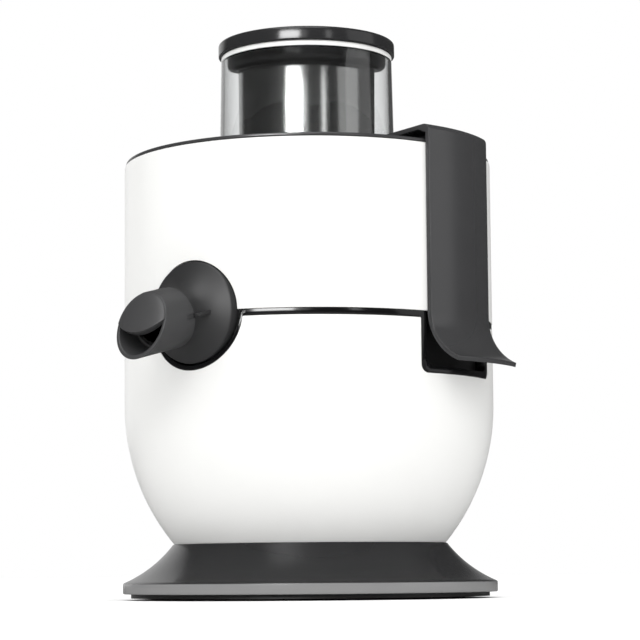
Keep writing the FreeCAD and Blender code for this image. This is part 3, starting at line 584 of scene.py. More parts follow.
def wound_wire(name, colour, thickness=0.9):
    """Enamelled copper wire wound in layers: close ridges one wire apart, glossy with varnish."""
    material, tree, shader, spot = new_material(name, colour, 0.3, metallic=0.85)
    vary(tree, shader, spot, colour, 0.18, 4, 0.3, 0.08)
    strands = add_node(tree, "ShaderNodeTexWave",
                       {"wave_type": "BANDS", "bands_direction": "X", "Scale": scale_of(thickness) / TURN,
                        "Distortion": 0.6, "Detail Scale": 1.0}, {"Vector": spot})
    emboss(tree, shader, strands.outputs["Fac"], 0.9, 0.3)
    return material


def stamped_stack(name, colour, sheet=0.8):
    """Stacked electrical steel sheets: thin dark lines where one stamping meets the next."""
    material, tree, shader, spot = new_material(name, colour, 0.42, metallic=0.9)
    vary(tree, shader, spot, colour, 0.1, 6, 0.42, 0.08)
    sheets = add_node(tree, "ShaderNodeTexWave",
                      {"wave_type": "BANDS", "bands_direction": "Z", "Scale": scale_of(sheet) / TURN},
                      {"Vector": spot})
    emboss(tree, shader, sheets.outputs["Fac"], 0.8, 0.15)
    return material


def cast_metal(name, colour, roughness=0.5):
    """Die-cast aluminium: a dull bright skin with a coarse orange peel."""
    material, tree, shader, spot = new_material(name, colour, roughness, metallic=1.0)
    vary(tree, shader, spot, colour, 0.1, 8, roughness, 0.1)
    peel = add_node(tree, "ShaderNodeTexNoise", {"Scale": scale_of(1.4), "Detail": 4.0}, {"Vector": spot})
    emboss(tree, shader, peel.outputs["Fac"], 0.6, 0.08)
    return material


def coated_board(name, colour, track=2.2):
    """Glass-fibre board under solder mask: raised copper tracks show as lighter lines."""
    material, tree, shader, spot = new_material(name, colour, 0.3, ior=1.55)
    cells = add_node(tree, "ShaderNodeTexVoronoi", {"distance": "CHEBYCHEV", "Scale": scale_of(track * 2)},
                     {"Vector": spot})
    ramp = add_node(tree, "ShaderNodeValToRGB", {}, {"Fac": cells.outputs["Distance"]})
    ramp.color_ramp.elements[0].color = (*[min(1.0, c * 2.2) for c in colour], 1.0)
    ramp.color_ramp.elements[1].color = (*colour, 1.0)
    tree.links.new(ramp.outputs["Color"], shader.inputs["Base Color"])
    emboss(tree, shader, cells.outputs["Distance"], 0.5, 0.05)
    return material


def make_finishes():
    """Every finish by name, from the colour settings."""
    colours = bpy.context.scene.juicer_colours
    paint = {name: tuple(getattr(colours, name)) for name in colours.__annotations__}
    return {
        "white": moulded_plastic("moulded_white_abs", paint["white_abs"], 0.3, tone=0.006, depth=0.006),
        "charcoal": moulded_plastic("moulded_charcoal_abs", paint["charcoal_abs"], 0.48),
        "bell": moulded_plastic("moulded_bell_abs", paint["bell_abs"], 0.5),
        "satin": moulded_plastic("satin_charcoal_abs", paint["charcoal_abs"], 0.24),
        # The skirt's foot band gets the lighter rim colour, a painted highlight.
        "skirt": skirt_plastic("moulded_skirt_abs", paint["skirt_abs"], paint["rim_abs"], SKIRT_RIM_TOP),
        "black": moulded_plastic("moulded_black_abs", paint["black_abs"], 0.42),
        "gloss": moulded_plastic("polished_black_abs", paint["gloss_black"], 0.14, grain=6.0, depth=0.01),
        "cap": moulded_plastic("polished_cap_abs", paint["cap_abs"], 0.16, grain=5.0, depth=0.012),
        "clear": clear_plastic("clear_san", paint["clear_san"]),
        "smoked": clear_plastic("smoked_san", paint["smoked_san"], 0.12),
        "sleeve": brushed_steel("brushed_sleeve_steel", paint["sleeve_steel"]),
        "steel": turned_metal("stainless_steel", paint["steel"]),
        "zinc": turned_metal("zinc_plated_steel", paint["steel"], 0.34, 0.35, 0.12),
        "titanium": coated_metal("titanium_nitride_coat", paint["titanium"]),
        "silicone": soft_rubber("white_silicone", paint["silicone"], 0.45),
        "rubber": soft_rubber("black_rubber", paint["rubber"]),
        "iron": stamped_stack("electrical_steel", paint["iron"]),
        "copper": wound_wire("enamelled_copper", paint["copper"]),
        "commutator": turned_metal("turned_copper", paint["copper"], 0.3, 0.6, 0.1),
        "aluminium": cast_metal("die_cast_aluminium", paint["aluminium"]),
        "carbon": soft_rubber("pressed_carbon", paint["rubber"], 0.7),
        "brass": turned_metal("stamped_brass", paint["brass"], 0.3, 0.8, 0.1),
        "nylon": moulded_plastic(
            "glass_filled_nylon", paint["nylon"], 0.5, grain=0.6, depth=0.03, tone=0.12),
        "switch": moulded_plastic("moulded_switch_case", paint["nylon"], 0.38),
        "board": coated_board("solder_masked_board", paint["board"]),
    }


# Which finish each frame node gets; the nodes that a piece stands for keep it as well.
NODE_FINISHES = {
    "white": ["lower_shell", "upper_shell"],
    "charcoal": ["spout_nozzle", "speed_knob"],
    "bell": ["spout_bell"],
    "satin": ["clamp_arm_right", "clamp_arm_left", "lid_plate"],
    "skirt": ["base_skirt"],
    "black": ["base_plate", "recess_liner_right", "recess_liner_left", "motor_deck", "knob_bezel",
              "pusher_foot", "basket_rim"],
    "gloss": ["seam_trim", "pusher_collar"],
    "cap": ["pusher_cap"],
    "clear": ["feed_chute"],
    "smoked": ["juice_collector", "pulp_container"],
    "sleeve": ["pusher_sleeve"],
    "steel": ["filter_basket", "hinge_pin_right", "hinge_pin_left", "motor_shaft", "lower_bearing",
              "upper_bearing"],
    "zinc": ["base_screws", "shell_screws", "deck_screws", "mount_screws", "motor_bolts",
             "interlock_spring"],
    "titanium": ["grating_disc"],
    "silicone": ["chute_rim_seal"],
    "rubber": ["rubber_feet", "lid_gasket", "shaft_seal", "spout_oring", "motor_mounts", "cord_gland"],
    "iron": ["motor_stator", "armature_core"],
    "copper": ["field_coils", "armature_winding"],
    "commutator": ["commutator"],
    "aluminium": ["lower_bracket", "upper_bracket"],
    "carbon": ["carbon_brushes"],
    "brass": ["brush_holders"],
    "nylon": ["drive_coupling", "basket_hub", "cooling_fan", "interlock_plunger"],
    "switch": ["speed_switch", "interlock_switch"],
    "board": ["control_board"],
}
FINISHES = {}


# ---------------------------------------------------------------- the pieces
class JUICER_OT_finishes(Operator):
    """Make every material and put it on the frame's nodes"""

    bl_idname = "juicer.finishes"
    bl_label = "Finishes"

    def execute(self, context):
        FINISHES.update(make_finishes())
        for finish, nodes in NODE_FINISHES.items():
            for node in nodes:
                mesh = frame["nodes"][node].data
                mesh.materials.clear()
                mesh.materials.append(FINISHES[finish])
        return {"FINISHED"}


def recess_tool(side, half, low):
    """The rounded block that opens the housing behind a clamp's lip."""
    corner, top, near, far = 4.5, 160.0, 85.0, 112.0
    outline = rounded([(-half, low, corner), (half, low, corner), (half, top), (-half, top)], 8)
    points = [(side * near, y, z) for y, z in outline]
    return pushed("recess_tool", points, (side * (far - near), 0, 0))


def recess_tools(inset=0.0):
    """The recess blocks of both sides, drawn in by an inset."""
    return [recess_tool(side, RECESS_HALF - inset, RECESS_LOW + inset) for side in (1, -1)]


def spout_tool(radius):
    """The round bar that opens the housing for the spout."""
    return rod("spout_tool", radius, (0, -85, SPOUT_HEIGHT), (0, -115, SPOUT_HEIGHT), 128)


class JUICER_OT_lower_housing(Operator):
    """Turn the rounded lower housing, open it for the spout and clamps, and add its bosses"""

    bl_idname = "juicer.lower_housing"
    bl_label = "Lower housing"

    def execute(self, context):
        low, inner_low = SHELL_LOW, SHELL_LOW + WALL
        centre = (BODY - BELLY_BOW, BELLY_HEIGHT)

        def belly(bow, foot):
            """The rounded stretch from a height up to the straight wall."""
            start = -math.degrees(math.asin((BELLY_HEIGHT - foot) / bow))
            return arc(centre, bow, start, 0, 30)

        inside = belly(BELLY_BOW - WALL, inner_low)
        outline = [(FLANGE_INNER, low)] + belly(BELLY_BOW, low)
        outline += rounded([(BODY, BELLY_HEIGHT), (BODY, LOWER_TOP, 0.5), (BODY - WALL, LOWER_TOP, 0.3),
                            (BODY - WALL, BELLY_HEIGHT)], 3)[1:-1]
        outline += inside[::-1] + [(FLANGE_INNER, inner_low)]
        shell = turned("housing_lower", outline)
        boss = rod("boss", 4.0, (70.0, 0, inner_low - 1), (70.0, 0, inner_low + 5), 32)
        post = block("post", (86, -5, DECK_LOW - 22), (BODY - WALL + 0.8, 5, DECK_LOW))
        shell = union(shell, *ring(boss, 4), *ring(post, 4, TURN / 8))
        spindle_hole = rod("spindle_hole", 4.0, (-85, 0, KNOB_HEIGHT), (-115, 0, KNOB_HEIGHT))
        inlet_hole = rod("inlet_hole", 8.0, (0, 75, INLET_HEIGHT), (0, 105, INLET_HEIGHT))
        shell = cut(shell, spout_tool(SPOUT_NOTCH), *recess_tools(), spindle_hole, inlet_hole)
        mount(shell, "housing", ["lower_shell"], FINISHES["white"])
        return {"FINISHED"}


class JUICER_OT_upper_housing(Operator):
    """Turn the plain upper housing and open it over the spout's bell"""

    bl_idname = "juicer.upper_housing"
    bl_label = "Upper housing"

    def execute(self, context):
        shell = turned("housing_upper", rounded([
            (BODY - WALL, UPPER_LOW, 0.3), (BODY, UPPER_LOW, 0.4), (BODY, UPPER_TOP, 0.9),
            (BODY - WALL, UPPER_TOP, 0.4)]), 256)
        shell = cut(shell, spout_tool(BELL_RADIUS + 0.5))
        mount(shell, "housing", ["upper_shell"], FINISHES["white"])
        return {"FINISHED"}


class JUICER_OT_seam_trim(Operator):
    """Make the gloss black seam band with its frames round the spout and the clamp recesses"""

    bl_idname = "juicer.seam_trim"
    bl_label = "Seam trim"

    def execute(self, context):
        radius = high_of("seam_trim").y
        depth, frame_width, spout_ring = 5.9, 3.6, 2.5
        band = turned("trim_band", [(radius - depth, RECESS_LOW), (radius, RECESS_LOW), (radius, TRIM_TOP),
                                    (radius - depth, TRIM_TOP)], 256)
        keep = rod("keep", radius + 5, (0, 0, LOWER_TOP), (0, 0, TRIM_TOP + 1), 64)
        keep = union(keep, spout_tool(SPOUT_NOTCH), *recess_tools())
        band = combine(band, [keep], "INTERSECT")
        band = cut(band, spout_tool(SPOUT_NOTCH - spout_ring), *recess_tools(frame_width))
        soften(band, settings().trim_edge, 2, 50)
        mount(band, "housing", ["seam_trim"], FINISHES["gloss"])
        return {"FINISHED"}


class JUICER_OT_base(Operator):
    """Turn the flared skirt with its rim, whose foot band carries a painted highlight, and mould the four
    feet
    """

    bl_idname = "juicer.base"
    bl_label = "Base skirt and feet"

    def execute(self, context):
        rim = high_of("base_skirt").x
        low, top = low_of("base_skirt").z, high_of("base_skirt").z
        neck = SKIRT_NECK
        outside = bowed((rim - 0.7, SKIRT_RIM_TOP + 0.6), (86.6, 18.8), (neck, top), 20)
        inside = bowed((neck - 1.7, top - 2.5), (85.6, 15.9), (rim - 2.8, SKIRT_RIM_TOP - 1.4), 12)
        outline = rounded([(rim - 2.8, low, 0.3), (rim, low, 0.7), (rim, SKIRT_RIM_TOP, 0.45),
                           (rim - 0.7, SKIRT_RIM_TOP + 0.6)])[:-1]
        outline += outside + [(neck - 9.6, top), (neck - 9.6, top - 2.5)] + inside
        skirt = turned("skirt", outline)
        boss = rod("boss", 4.2, (68.5, 0, 3.3), (68.5, 0, 27.7), 32)
        skirt = union(skirt, *ring(boss, 4, TURN / 8))
        mount(skirt, "housing", ["base_skirt"], FINISHES["skirt"])

        foot = turned("foot", rounded([
            (0, 0), (3.4, 0, 0.3), (4.2, 0.7, 0.3), (5.4, 0.7, 0.3), (6.2, 0, 0.3), (9.0, 0, 0.8),
            (9.0, 3.3), (11.0, 3.3, 0.3), (11.0, 4.9, 0.4), (0, 4.9)], 2), 48)
        place(foot, Matrix.Translation((78.0, 0, 0)))
        feet = gather(*ring(foot, 4, math.radians(20)))
        christen("feet")
        mount(feet, "housing", ["rubber_feet"], FINISHES["rubber"])
        return {"FINISHED"}


class JUICER_OT_lid(Operator):
    """Turn the lid plate and add the four hinge lugs"""

    bl_idname = "juicer.lid"
    bl_label = "Lid"

    def execute(self, context):
        edge = high_of("lid_plate").y
        low, high = UPPER_TOP + 0.3, UPPER_TOP + 2.1
        hole = 48.96
        plate = turned("lid", rounded([
            (hole, low - 0.6, 0.2), (94.6, low - 0.6), (94.6, 232.0, 0.4), (96.6, 232.0, 0.6), (96.6, low),
            (edge, low, 0.4), (edge, high, 0.8), (84.0, high, 1.5), (82.8, high - 0.6, 0.8),
            (58.0, high - 0.6, 0.8), (57.0, high, 0.8), (hole, high, 0.5)]))
        lugs, bores = [], []
        for side in (1, -1):
            for near in (18.0, -24.0):
                x = side * HINGE_REACH
                lug = rod("lug", 4.2, (x, near, HINGE_HEIGHT), (x, near + 6, HINGE_HEIGHT), 48)
                post = block("post", (x - 4.2, near, low), (x + 4.2, near + 6, HINGE_HEIGHT))
                lugs.append(union(lug, post))
            bores.append(rod("bore", 1.5, (x, -30, HINGE_HEIGHT), (x, 30, HINGE_HEIGHT), 32))
        lugs = [soften(lug, 0.5 * MM, 2, 50) for lug in lugs]
        plate = cut(union(plate, *lugs), *bores)
        mount(plate, "lid", ["lid_plate"], FINISHES["satin"])
        outline = rounded([(0, -24.0), (1.5, -24.0, 0.4), (1.5, 24.0, 0.4), (0, 24.0)], 2)
        lying = Matrix.Rotation(TURN / 4, 4, "X")
        for side, name in ((1, "right"), (-1, "left")):
            pin = turned(f"hinge_rod_{name}", outline, 32)
            place(pin, Matrix.Translation((side * HINGE_REACH, 0, HINGE_HEIGHT)) @ lying)
            mount(pin, "lid", [f"hinge_pin_{name}"], FINISHES["steel"])
        return {"FINISHED"}


class JUICER_OT_chute(Operator):
    """Turn the clear feed chute and the white seal round its mouth"""

    bl_idname = "juicer.chute"
    bl_label = "Feed chute"

    def execute(self, context):
        wall, foot, mouth = 3.0, 50.4, 48.0
        low, top = low_of("feed_chute").z, high_of("feed_chute").z
        flange = UPPER_TOP + 0.3

        def skin(height):
            """Outer radius of the tapered tube at a height."""
            return foot + (mouth - foot) * (height - low) / (top - low)

        chute = turned("chute", rounded([
            (foot - wall, low, 0.8), (foot, low, 0.8), (skin(flange - 3), flange - 3, 0.6),
            (56.0, flange - 3, 0.4), (56.0, flange - 0.6, 0.3), (skin(flange - 0.6), flange - 0.6, 0.5),
            (mouth, top, 0.5), (mouth - wall, top, 0.8)]))
        mount(chute, "lid", ["feed_chute"], FINISHES["clear"])
        high = high_of("chute_rim_seal").z
        seal = turned("rim_seal", rounded([
            (mouth - wall, top, 0.3), (mouth, top, 0.3), (mouth, high, 0.9), (mouth - wall, high, 0.9)]))
        mount(seal, "lid", ["chute_rim_seal"], FINISHES["silicone"])
        return {"FINISHED"}


class JUICER_OT_pusher(Operator):
    """Turn the pusher's cap, collar, brushed sleeve and foot"""

    bl_idname = "juicer.pusher"
    bl_label = "Pusher"

    def execute(self, context):
        low, high = low_of("pusher_cap").z, high_of("pusher_cap").z
        radius = high_of("pusher_cap").x
        cap = turned("cap", rounded([(0, low), (radius, low, 0.6), (radius, high, 1.5), (44.0, high, 2.0),
                                     (42.0, high - 0.7, 1.2), (0, high - 0.7)], 5))
        mount(cap, "pusher", ["pusher_cap"], FINISHES["cap"])

        sleeve = high_of("pusher_sleeve").x
        sleeve_low, sleeve_top = low_of("pusher_sleeve").z, high_of("pusher_sleeve").z
        collar = high_of("pusher_collar").x
        bowl = bowed((sleeve + 0.6, sleeve_top), (collar - 1.3, sleeve_top + 1.3),
                     (collar, sleeve_top + 5), 10)
        outline = [(0, low - 3), (sleeve - 1, low - 3), (sleeve - 1, sleeve_top - 6),
                   (sleeve - 0.8, sleeve_top - 6), (sleeve - 0.8, sleeve_top)]
        outline += bowl + rounded([(collar, low), (0, low)])
        cuff = turned("collar", outline)
        mount(cuff, "pusher", ["pusher_collar"], FINISHES["gloss"])

        tube = turned("sleeve", rounded([(sleeve - 0.8, sleeve_low, 0.2), (sleeve, sleeve_low, 0.3),
                                         (sleeve, sleeve_top, 0.3), (sleeve - 0.8, sleeve_top, 0.2)], 2))
        mount(tube, "pusher", ["pusher_sleeve"], FINISHES["sleeve"])

        foot_low, rim = low_of("pusher_foot").z, high_of("pusher_foot").x
        grooves = []
        for ring in range(4):
            out = 8.0 + 9.0 * ring
            grooves += [(out, foot_low), (out + 0.8, foot_low + 1.2), (out + 2.2, foot_low + 1.2),
                        (out + 3.0, foot_low)]
        foot = turned("press_foot", [(0, foot_low)] + grooves + rounded([
            (rim, foot_low, 1.0), (rim, sleeve_low, 1.0), (sleeve - 0.8, sleeve_low),
            (sleeve - 0.8, sleeve_low + 4), (sleeve - 3, sleeve_low + 4), (sleeve - 3, sleeve_low - 6),
            (0, sleeve_low - 6)]))
        mount(foot, "pusher", ["pusher_foot"], FINISHES["black"])
        return {"FINISHED"}


class JUICER_OT_clamps(Operator):
    """Spin each clamp arm's side profile through its width, add ribs and a hinge barrel, soften its edges"""

    bl_idname = "juicer.clamps"
    bl_label = "Clamp arms"

    def execute(self, context):
        for name, tip in LIP_TIPS.items():
            arm = self.arm(tip)
            if name == "left":
                place(arm, Matrix.Rotation(TURN / 2, 4, "Z"))
            christen(f"clamp_{name}")
            mount(arm, f"clamp_{name}", [f"clamp_arm_{name}"], FINISHES["satin"])
        return {"FINISHED"}

    def arm(self, tip):
        """The right arm with its lip ending at a height."""
        half_width, sweep = 28.0, math.radians(27)
        arm = turned("arm", self.profile(tip), 27, 2 * sweep)
        closed(place(arm, Matrix.Rotation(sweep, 4, "Z")))
        strip = block("strip", (66.6, -half_width, 110), (130, half_width, 260))
        arm = combine(arm, [strip], "INTERSECT")
        soften(arm, settings().arm_edge, 3, 50)
        rib = [(72.0, 243.5), (99.0, 243.5), (103.5, 239.0), (103.5, 247.0), (98.0, 247.9), (72.0, 244.3)]
        thick = 2.0
        for middle in (-14.0, 0.0, 14.0):
            near = [(x, middle - thick / 2, z) for x, z in rib]
            arm = union(arm, pushed("rib", near, (0, thick, 0)))
        return self.hinge(arm)

    def profile(self, tip):
        """Side outline from the lip up the face, over the shoulder to the hinge and back down the inside."""
        centre = ARM_OUTER + ARM_CURVE
        skin = centre - ARM_INNER
        drop = UPPER_LOW - tip
        blunt = math.degrees(math.asin((drop - 2.6) / ARM_CURVE))
        sharp = math.degrees(math.asin((drop - 0.3) / skin))
        front = arc((centre, UPPER_LOW), ARM_CURVE, 180 + blunt, 180, 20)
        back = arc((centre, UPPER_LOW), skin, 180, 180 + sharp, 20)
        over = (70.0, ARM_TOP - 4.6)
        shoulder = rounded([(ARM_OUTER, UPPER_LOW), (ARM_OUTER, ARM_TOP, 3.4), over], 8)[1:-1]
        hook = [over, (64.0, ARM_TOP - 5.2), (64.0, ARM_TOP - 7.6), (70.0, ARM_TOP - 7.2),
                (98.0, ARM_TOP - 3.1), (ARM_INNER, ARM_TOP - 5.0)]
        return front + shoulder + hook + back

    def hinge(self, arm):
        """Add the barrel that turns on the lid's pin."""
        reach = 17.5
        barrel = rod("barrel", 3.4, (HINGE_REACH, -reach, HINGE_HEIGHT), (HINGE_REACH, reach, HINGE_HEIGHT))
        soften(barrel, 0.4 * MM, 2)
        bridge = block("bridge", (HINGE_REACH, -reach, 243.1), (69.6, reach, 244.8))
        bore = rod("bore", 1.55, (HINGE_REACH, -30, HINGE_HEIGHT), (HINGE_REACH, 30, HINGE_HEIGHT), 32)
        return cut(union(arm, barrel, bridge), bore)


class JUICER_OT_spout_bell(Operator):
    """Draw the trumpet that leads from the housing to the nozzle, ring by ring"""

    bl_idname = "juicer.spout_bell"
    bl_label = "Spout bell"

    def execute(self, context):
        rim, neck, pipe = BELL_RADIUS, BELL_NECK, PIPE_RADIUS + 0.1
        flare = 14.0

        def outer(out):
            """Radius of the trumpet at a distance from the housing."""
            return neck + (rim - neck) * (1 - min(1.0, max(0.0, out / flare))) ** 2.2

        rings = [(-9.0, rim), (-0.6, rim), (-0.2, rim - 0.1), (0.1, rim - 0.4)]
        spots = [0.35 + flare * (i / 24) ** 1.4 for i in range(25)]
        rings += [(out, min(rim - 0.7, outer(out))) for out in spots] + [(24.0, neck)]
        inside = [(24.0, pipe), (9.0, pipe), (5.0, rim - 11), (1.4, rim - 7), (-1.0, rim - 2.2),
                  (-9.0, rim - 2.2)]
        bell = self.loft("bell", rings + inside)
        bell = cut(bell, rod("core", BODY - WALL, (0, 0, 110), (0, 0, 190), 256),
                   rod("beyond", 60, along_spout(19.6), along_spout(60)))
        fin = block("fin", (BELL_NECK - 1.0, -1.0, -8.0), (BELL_NECK + 3.6, 1.0, 3.0))
        place(fin, spout_frame(13.8))
        soften(fin, 0.3 * MM, 2)
        bell = union(bell, fin)
        mount(bell, "housing", ["spout_bell"], FINISHES["bell"], 40)
        return {"FINISHED"}

    def loft(self, name, rings, sides=160):
        """Extrude an upright ring outwards, moving and scaling it as it goes, until it closes on itself."""

        def centre(out):
            """Middle of the ring at a distance from the housing."""
            return Vector((0, -BODY - out, SPOUT_HEIGHT - max(out, 0.0) * math.tan(SPOUT_TILT))) * MM

        out, radius = rings[0]
        clear_selection()
        bpy.ops.mesh.primitive_circle_add(
            vertices=sides, radius=radius * MM, location=centre(out), rotation=(TURN / 4, 0, 0))
        bpy.ops.object.transform_apply()
        piece = christen(name)
        bpy.ops.object.mode_set(mode="EDIT")
        bpy.ops.mesh.select_all(action="SELECT")
        for (out, radius), (next_out, next_radius) in zip(rings, rings[1:] + rings[:1]):
            step = centre(next_out) - centre(out)
            bpy.ops.mesh.extrude_region_move(TRANSFORM_OT_translate={"value": step})
            share = next_radius / radius
            bpy.ops.transform.resize(value=(share, 1, share), center_override=centre(next_out))
        return weld(piece)


class JUICER_OT_nozzle(Operator):
    """Turn the nozzle, cut its slanted mouth, dome the visor over it and groove its rear edge"""

    bl_idname = "juicer.nozzle"
    bl_label = "Nozzle"

    def execute(self, context):
        radius, start, mouth, far = 16.0, 17.0, 41.6, 60.0
        inside, slant = radius - 2.0, math.radians(31.2)
        bore, bore_end = PIPE_RADIUS + 0.05, 31.2
        socket, socket_end = BELL_NECK + 0.5, 20.2
        barrel = turned("nozzle", rounded([
            (socket, start, 0.2), (radius - 0.5, start, 0.2), (radius, start + 0.5, 0.2), (radius, far),
            (inside, far), (inside, bore_end), (bore, bore_end), (bore, socket_end),
            (socket, socket_end)]), 128)
        tilt = Matrix.Translation((0, 0, mouth)) @ Matrix.Rotation(-slant, 4, "X")
        beyond = place(block("beyond", (-40, -40, 0), (40, 40, 60)), tilt)
        barrel = cut(barrel, beyond)
        soften(barrel, 0.6 * MM, 3, 60, clamp=False)
        barrel = union(barrel, self.visor(radius, slant, tilt))
        keyway = block("keyway", (-1.6, 12, start - 2), (1.6, 20, start + 2.4))
        groove = block("groove", (radius - 1.0, -1.3, start - 2), (20, 1.3, start + 6.5))
        barrel = closed(cut(barrel, keyway, groove))
        place(barrel, spout_frame(0))
        christen("nozzle")
        mount(barrel, "nozzle", ["spout_nozzle"], FINISHES["charcoal"])
        return {"FINISHED"}

    def visor(self, radius, slant, tilt):
        """A dome over the upper part of the mouth, with a lower edge that bows down."""
        bulge = settings().visor_bulge / MM
        skin = 1.8
        clear_selection()
        bpy.ops.mesh.primitive_uv_sphere_add(segments=128, ring_count=64, radius=(radius - 0.3) * MM)
        bpy.ops.transform.resize(value=(1, 1 / math.cos(slant), bulge / radius))
        bpy.ops.object.transform_apply()
        dome = christen("visor")
        inner = block("inner", (-40, -40, -60), (40, 40, -skin * 0.6))
        dome = cut(dome, inner)
        edge = rod("edge", 20.0, (0, 15.0, -30), (0, 15.0, 30), 160)
        dome = combine(dome, [edge], "INTERSECT")
        soften(dome, 0.3 * MM, 2, 50)
        return place(dome, tilt)


class JUICER_OT_knob(Operator):
    """Turn the speed knob, flute its edge and add its grip bar and spindle"""

    bl_idname = "juicer.knob"
    bl_label = "Speed knob"

    def execute(self, context):
        radius, face, count = 17.0, 101.6, settings().knob_flutes
        knob = turned("dial", rounded([(0, 3.0), (radius + 1, 3.0, 0.4), (radius + 1, 5.0, 0.5),
                                       (radius - 1, 6.5, 0.5), (radius - 2, 16.2, 1.4), (0, 16.2)]), 96)
        flute = rod("flute", 1.0, (radius - 0.5, 0, 7.2), (radius - 0.5, 0, 19.2), 12)
        knob = cut(knob, *ring(flute, count, TURN / count / 2))
        grip = block("grip", (-2.5, 3 - radius, 15.0), (2.5, radius - 3, 20.0))
        soften(grip, 0.8 * MM, 3)
        knob = union(knob, grip, rod("spindle", 3.0, (0, 0, -19.0), (0, 0, 4.0)))
        outwards = Matrix(((0, 0, -1), (-1, 0, 0), (0, 1, 0))).to_4x4()
        place(knob, Matrix.Translation((-face, 0, KNOB_HEIGHT)) @ outwards)
        christen("dial")
        mount(knob, "knob", ["speed_knob"], FINISHES["charcoal"])
        return {"FINISHED"}


class JUICER_OT_basket(Operator):
    """Extrude the filter cone row by row, open a slot in each face and give it thickness; turn its rim"""

    bl_idname = "juicer.basket"
    bl_label = "Filter basket"

    def execute(self, context):
        low, high = low_of("filter_basket").z, high_of("filter_basket").z
        foot, mouth = 51.7, high_of("filter_basket").x - 0.3
        columns, rows = settings().basket_columns, settings().basket_rows
        plain = 3.0
        pitch = (high - low - 2 * plain) / rows
        heights = [low] + [low + plain + pitch * row for row in range(rows + 1)] + [high]
        clear_selection()
        bpy.ops.mesh.primitive_circle_add(vertices=columns, radius=foot * MM, location=(0, 0, low * MM))
        bpy.ops.object.transform_apply()
        basket = christen("basket")
        bpy.ops.object.mode_set(mode="EDIT")
        bpy.ops.mesh.select_all(action="SELECT")
        radius = foot
        for here, there in zip(heights, heights[1:]):
            wider = foot + (mouth - foot) * (there - low) / (high - low)
            bpy.ops.mesh.extrude_region_move(TRANSFORM_OT_translate={"value": (0, 0, (there - here) * MM)})
            share = wider / radius
            bpy.ops.transform.resize(value=(share, share, 1), center_override=(0, 0, there * MM))
            radius = wider
        bpy.ops.object.mode_set(mode="OBJECT")
        for face in basket.data.polygons:
            face.select = low + plain < face.center.z / MM < high - plain
        bpy.ops.object.mode_set(mode="EDIT")
        bpy.ops.mesh.select_mode(type="FACE")
        bpy.ops.mesh.inset(thickness=0.55 * MM, use_individual=True)
        bpy.ops.mesh.delete(type="FACE")
        bpy.ops.mesh.select_mode(type="VERT")
        weld(basket)
        bpy.ops.object.modifier_add(type="SOLIDIFY")
        basket.modifiers[-1].thickness = 0.6 * MM
        basket.modifiers[-1].offset = 0.0
        bpy.ops.object.modifier_apply(modifier=basket.modifiers[-1].name)
        mount(basket, "spinner", ["filter_basket"], FINISHES["steel"])
        rim_low, rim_high = low_of("basket_rim").z, high_of("basket_rim").z
        out = high_of("basket_rim").x
        rim = turned("basket_band", rounded([
            (mouth - 0.5, rim_low + 2), (mouth + 0.3, rim_low + 2), (out, rim_low, 0.5), (out, rim_high, 1.2),
            (mouth - 0.5, rim_high, 1.0)]))
        mount(rim, "spinner", ["basket_rim"], FINISHES["black"])
        return {"FINISHED"}


class JUICER_OT_containers(Operator):
    """Turn the smoked pulp container"""

    bl_idname = "juicer.containers"
    bl_label = "Pulp container"

    def execute(self, context):
        floor, top = low_of("pulp_container").z, high_of("pulp_container").z
        out, inner, wall = high_of("pulp_container").x, 75.0, 2.0
        inner_top = high_of("juice_collector").z
        tub = turned("pulp_tub", rounded([
            (inner, floor, 0.6), (out, floor, 2.0), (out, top, 0.8), (out - wall, top, 0.8),
            (out - wall, floor + wall, 2.5), (inner + wall, floor + wall, 2.5),
            (inner + wall, inner_top, 0.8), (inner, inner_top, 0.8)]))
        mount(tub, "housing", ["pulp_container"], FINISHES["smoked"])
        return {"FINISHED"}


class JUICER_OT_spring(Operator):
    """Wind the interlock spring as a real helix"""

    bl_idname = "juicer.spring"
    bl_label = "Interlock spring"

    def execute(self, context):
        low, high = low_of("interlock_spring"), high_of("interlock_spring")
        wire, turns = 0.35, 6
        coil = (high.y - low.y) / 2 - wire
        clear_selection()
        bpy.ops.mesh.primitive_circle_add(
            vertices=10, radius=wire * MM, location=(coil * MM, 0, 0), rotation=(TURN / 4, 0, 0))
        bpy.ops.object.transform_apply()
        spring = christen("spring")
        pick(spring)
        bpy.ops.object.modifier_add(type="SCREW")
        screw = spring.modifiers[-1]
        screw.angle = TURN * turns
        screw.steps = 36 * turns
        screw.render_steps = 36 * turns
        screw.screw_offset = (high.x - low.x - 2 * wire) * MM
        bpy.ops.object.modifier_apply(modifier=screw.name)
        closed(spring)
        lying = Matrix(((0, 0, 1), (0, 1, 0), (-1, 0, 0))).to_4x4()
        place(spring, Matrix.Translation((low.x + wire, 0, (low.z + high.z) / 2)) @ lying)
        mount(spring, "housing", ["interlock_spring"], FINISHES["zinc"])
        return {"FINISHED"}


# ---------------------------------------------------------------- stage
def lamp(name, spot, turn, size, radiance, seen_by):
    """An area light of even radiance that lights matt surfaces or shows in mirrored ones."""
    bpy.ops.object.light_add(type="AREA", location=spot, rotation=turn.to_euler())
    light = bpy.context.view_layer.objects.active
    light.name = name
    light.data.shape = "RECTANGLE"
    light.data.size, light.data.size_y = size
    light.data.energy = radiance * math.pi * size[0] * size[1]
    light.visible_camera = False
    light.visible_diffuse = seen_by == "matt"
    light.visible_glossy = light.visible_transmission = seen_by == "mirror"
    return light


def softbox(name, azimuth, distance, height, size, radiance, seen_by="mirror"):
    """A light that faces the juicer, at an angle from the camera's direction."""
    turn = bpy.context.scene.juicer_stage.azimuth + math.radians(azimuth)
    spot = Vector((math.sin(turn) * distance, -math.cos(turn) * distance, height))
    aim = Vector((0, 0, 0.15)) - spot
    return lamp(name, spot, aim.to_track_quat("-Z", "Y"), size, radiance, seen_by)


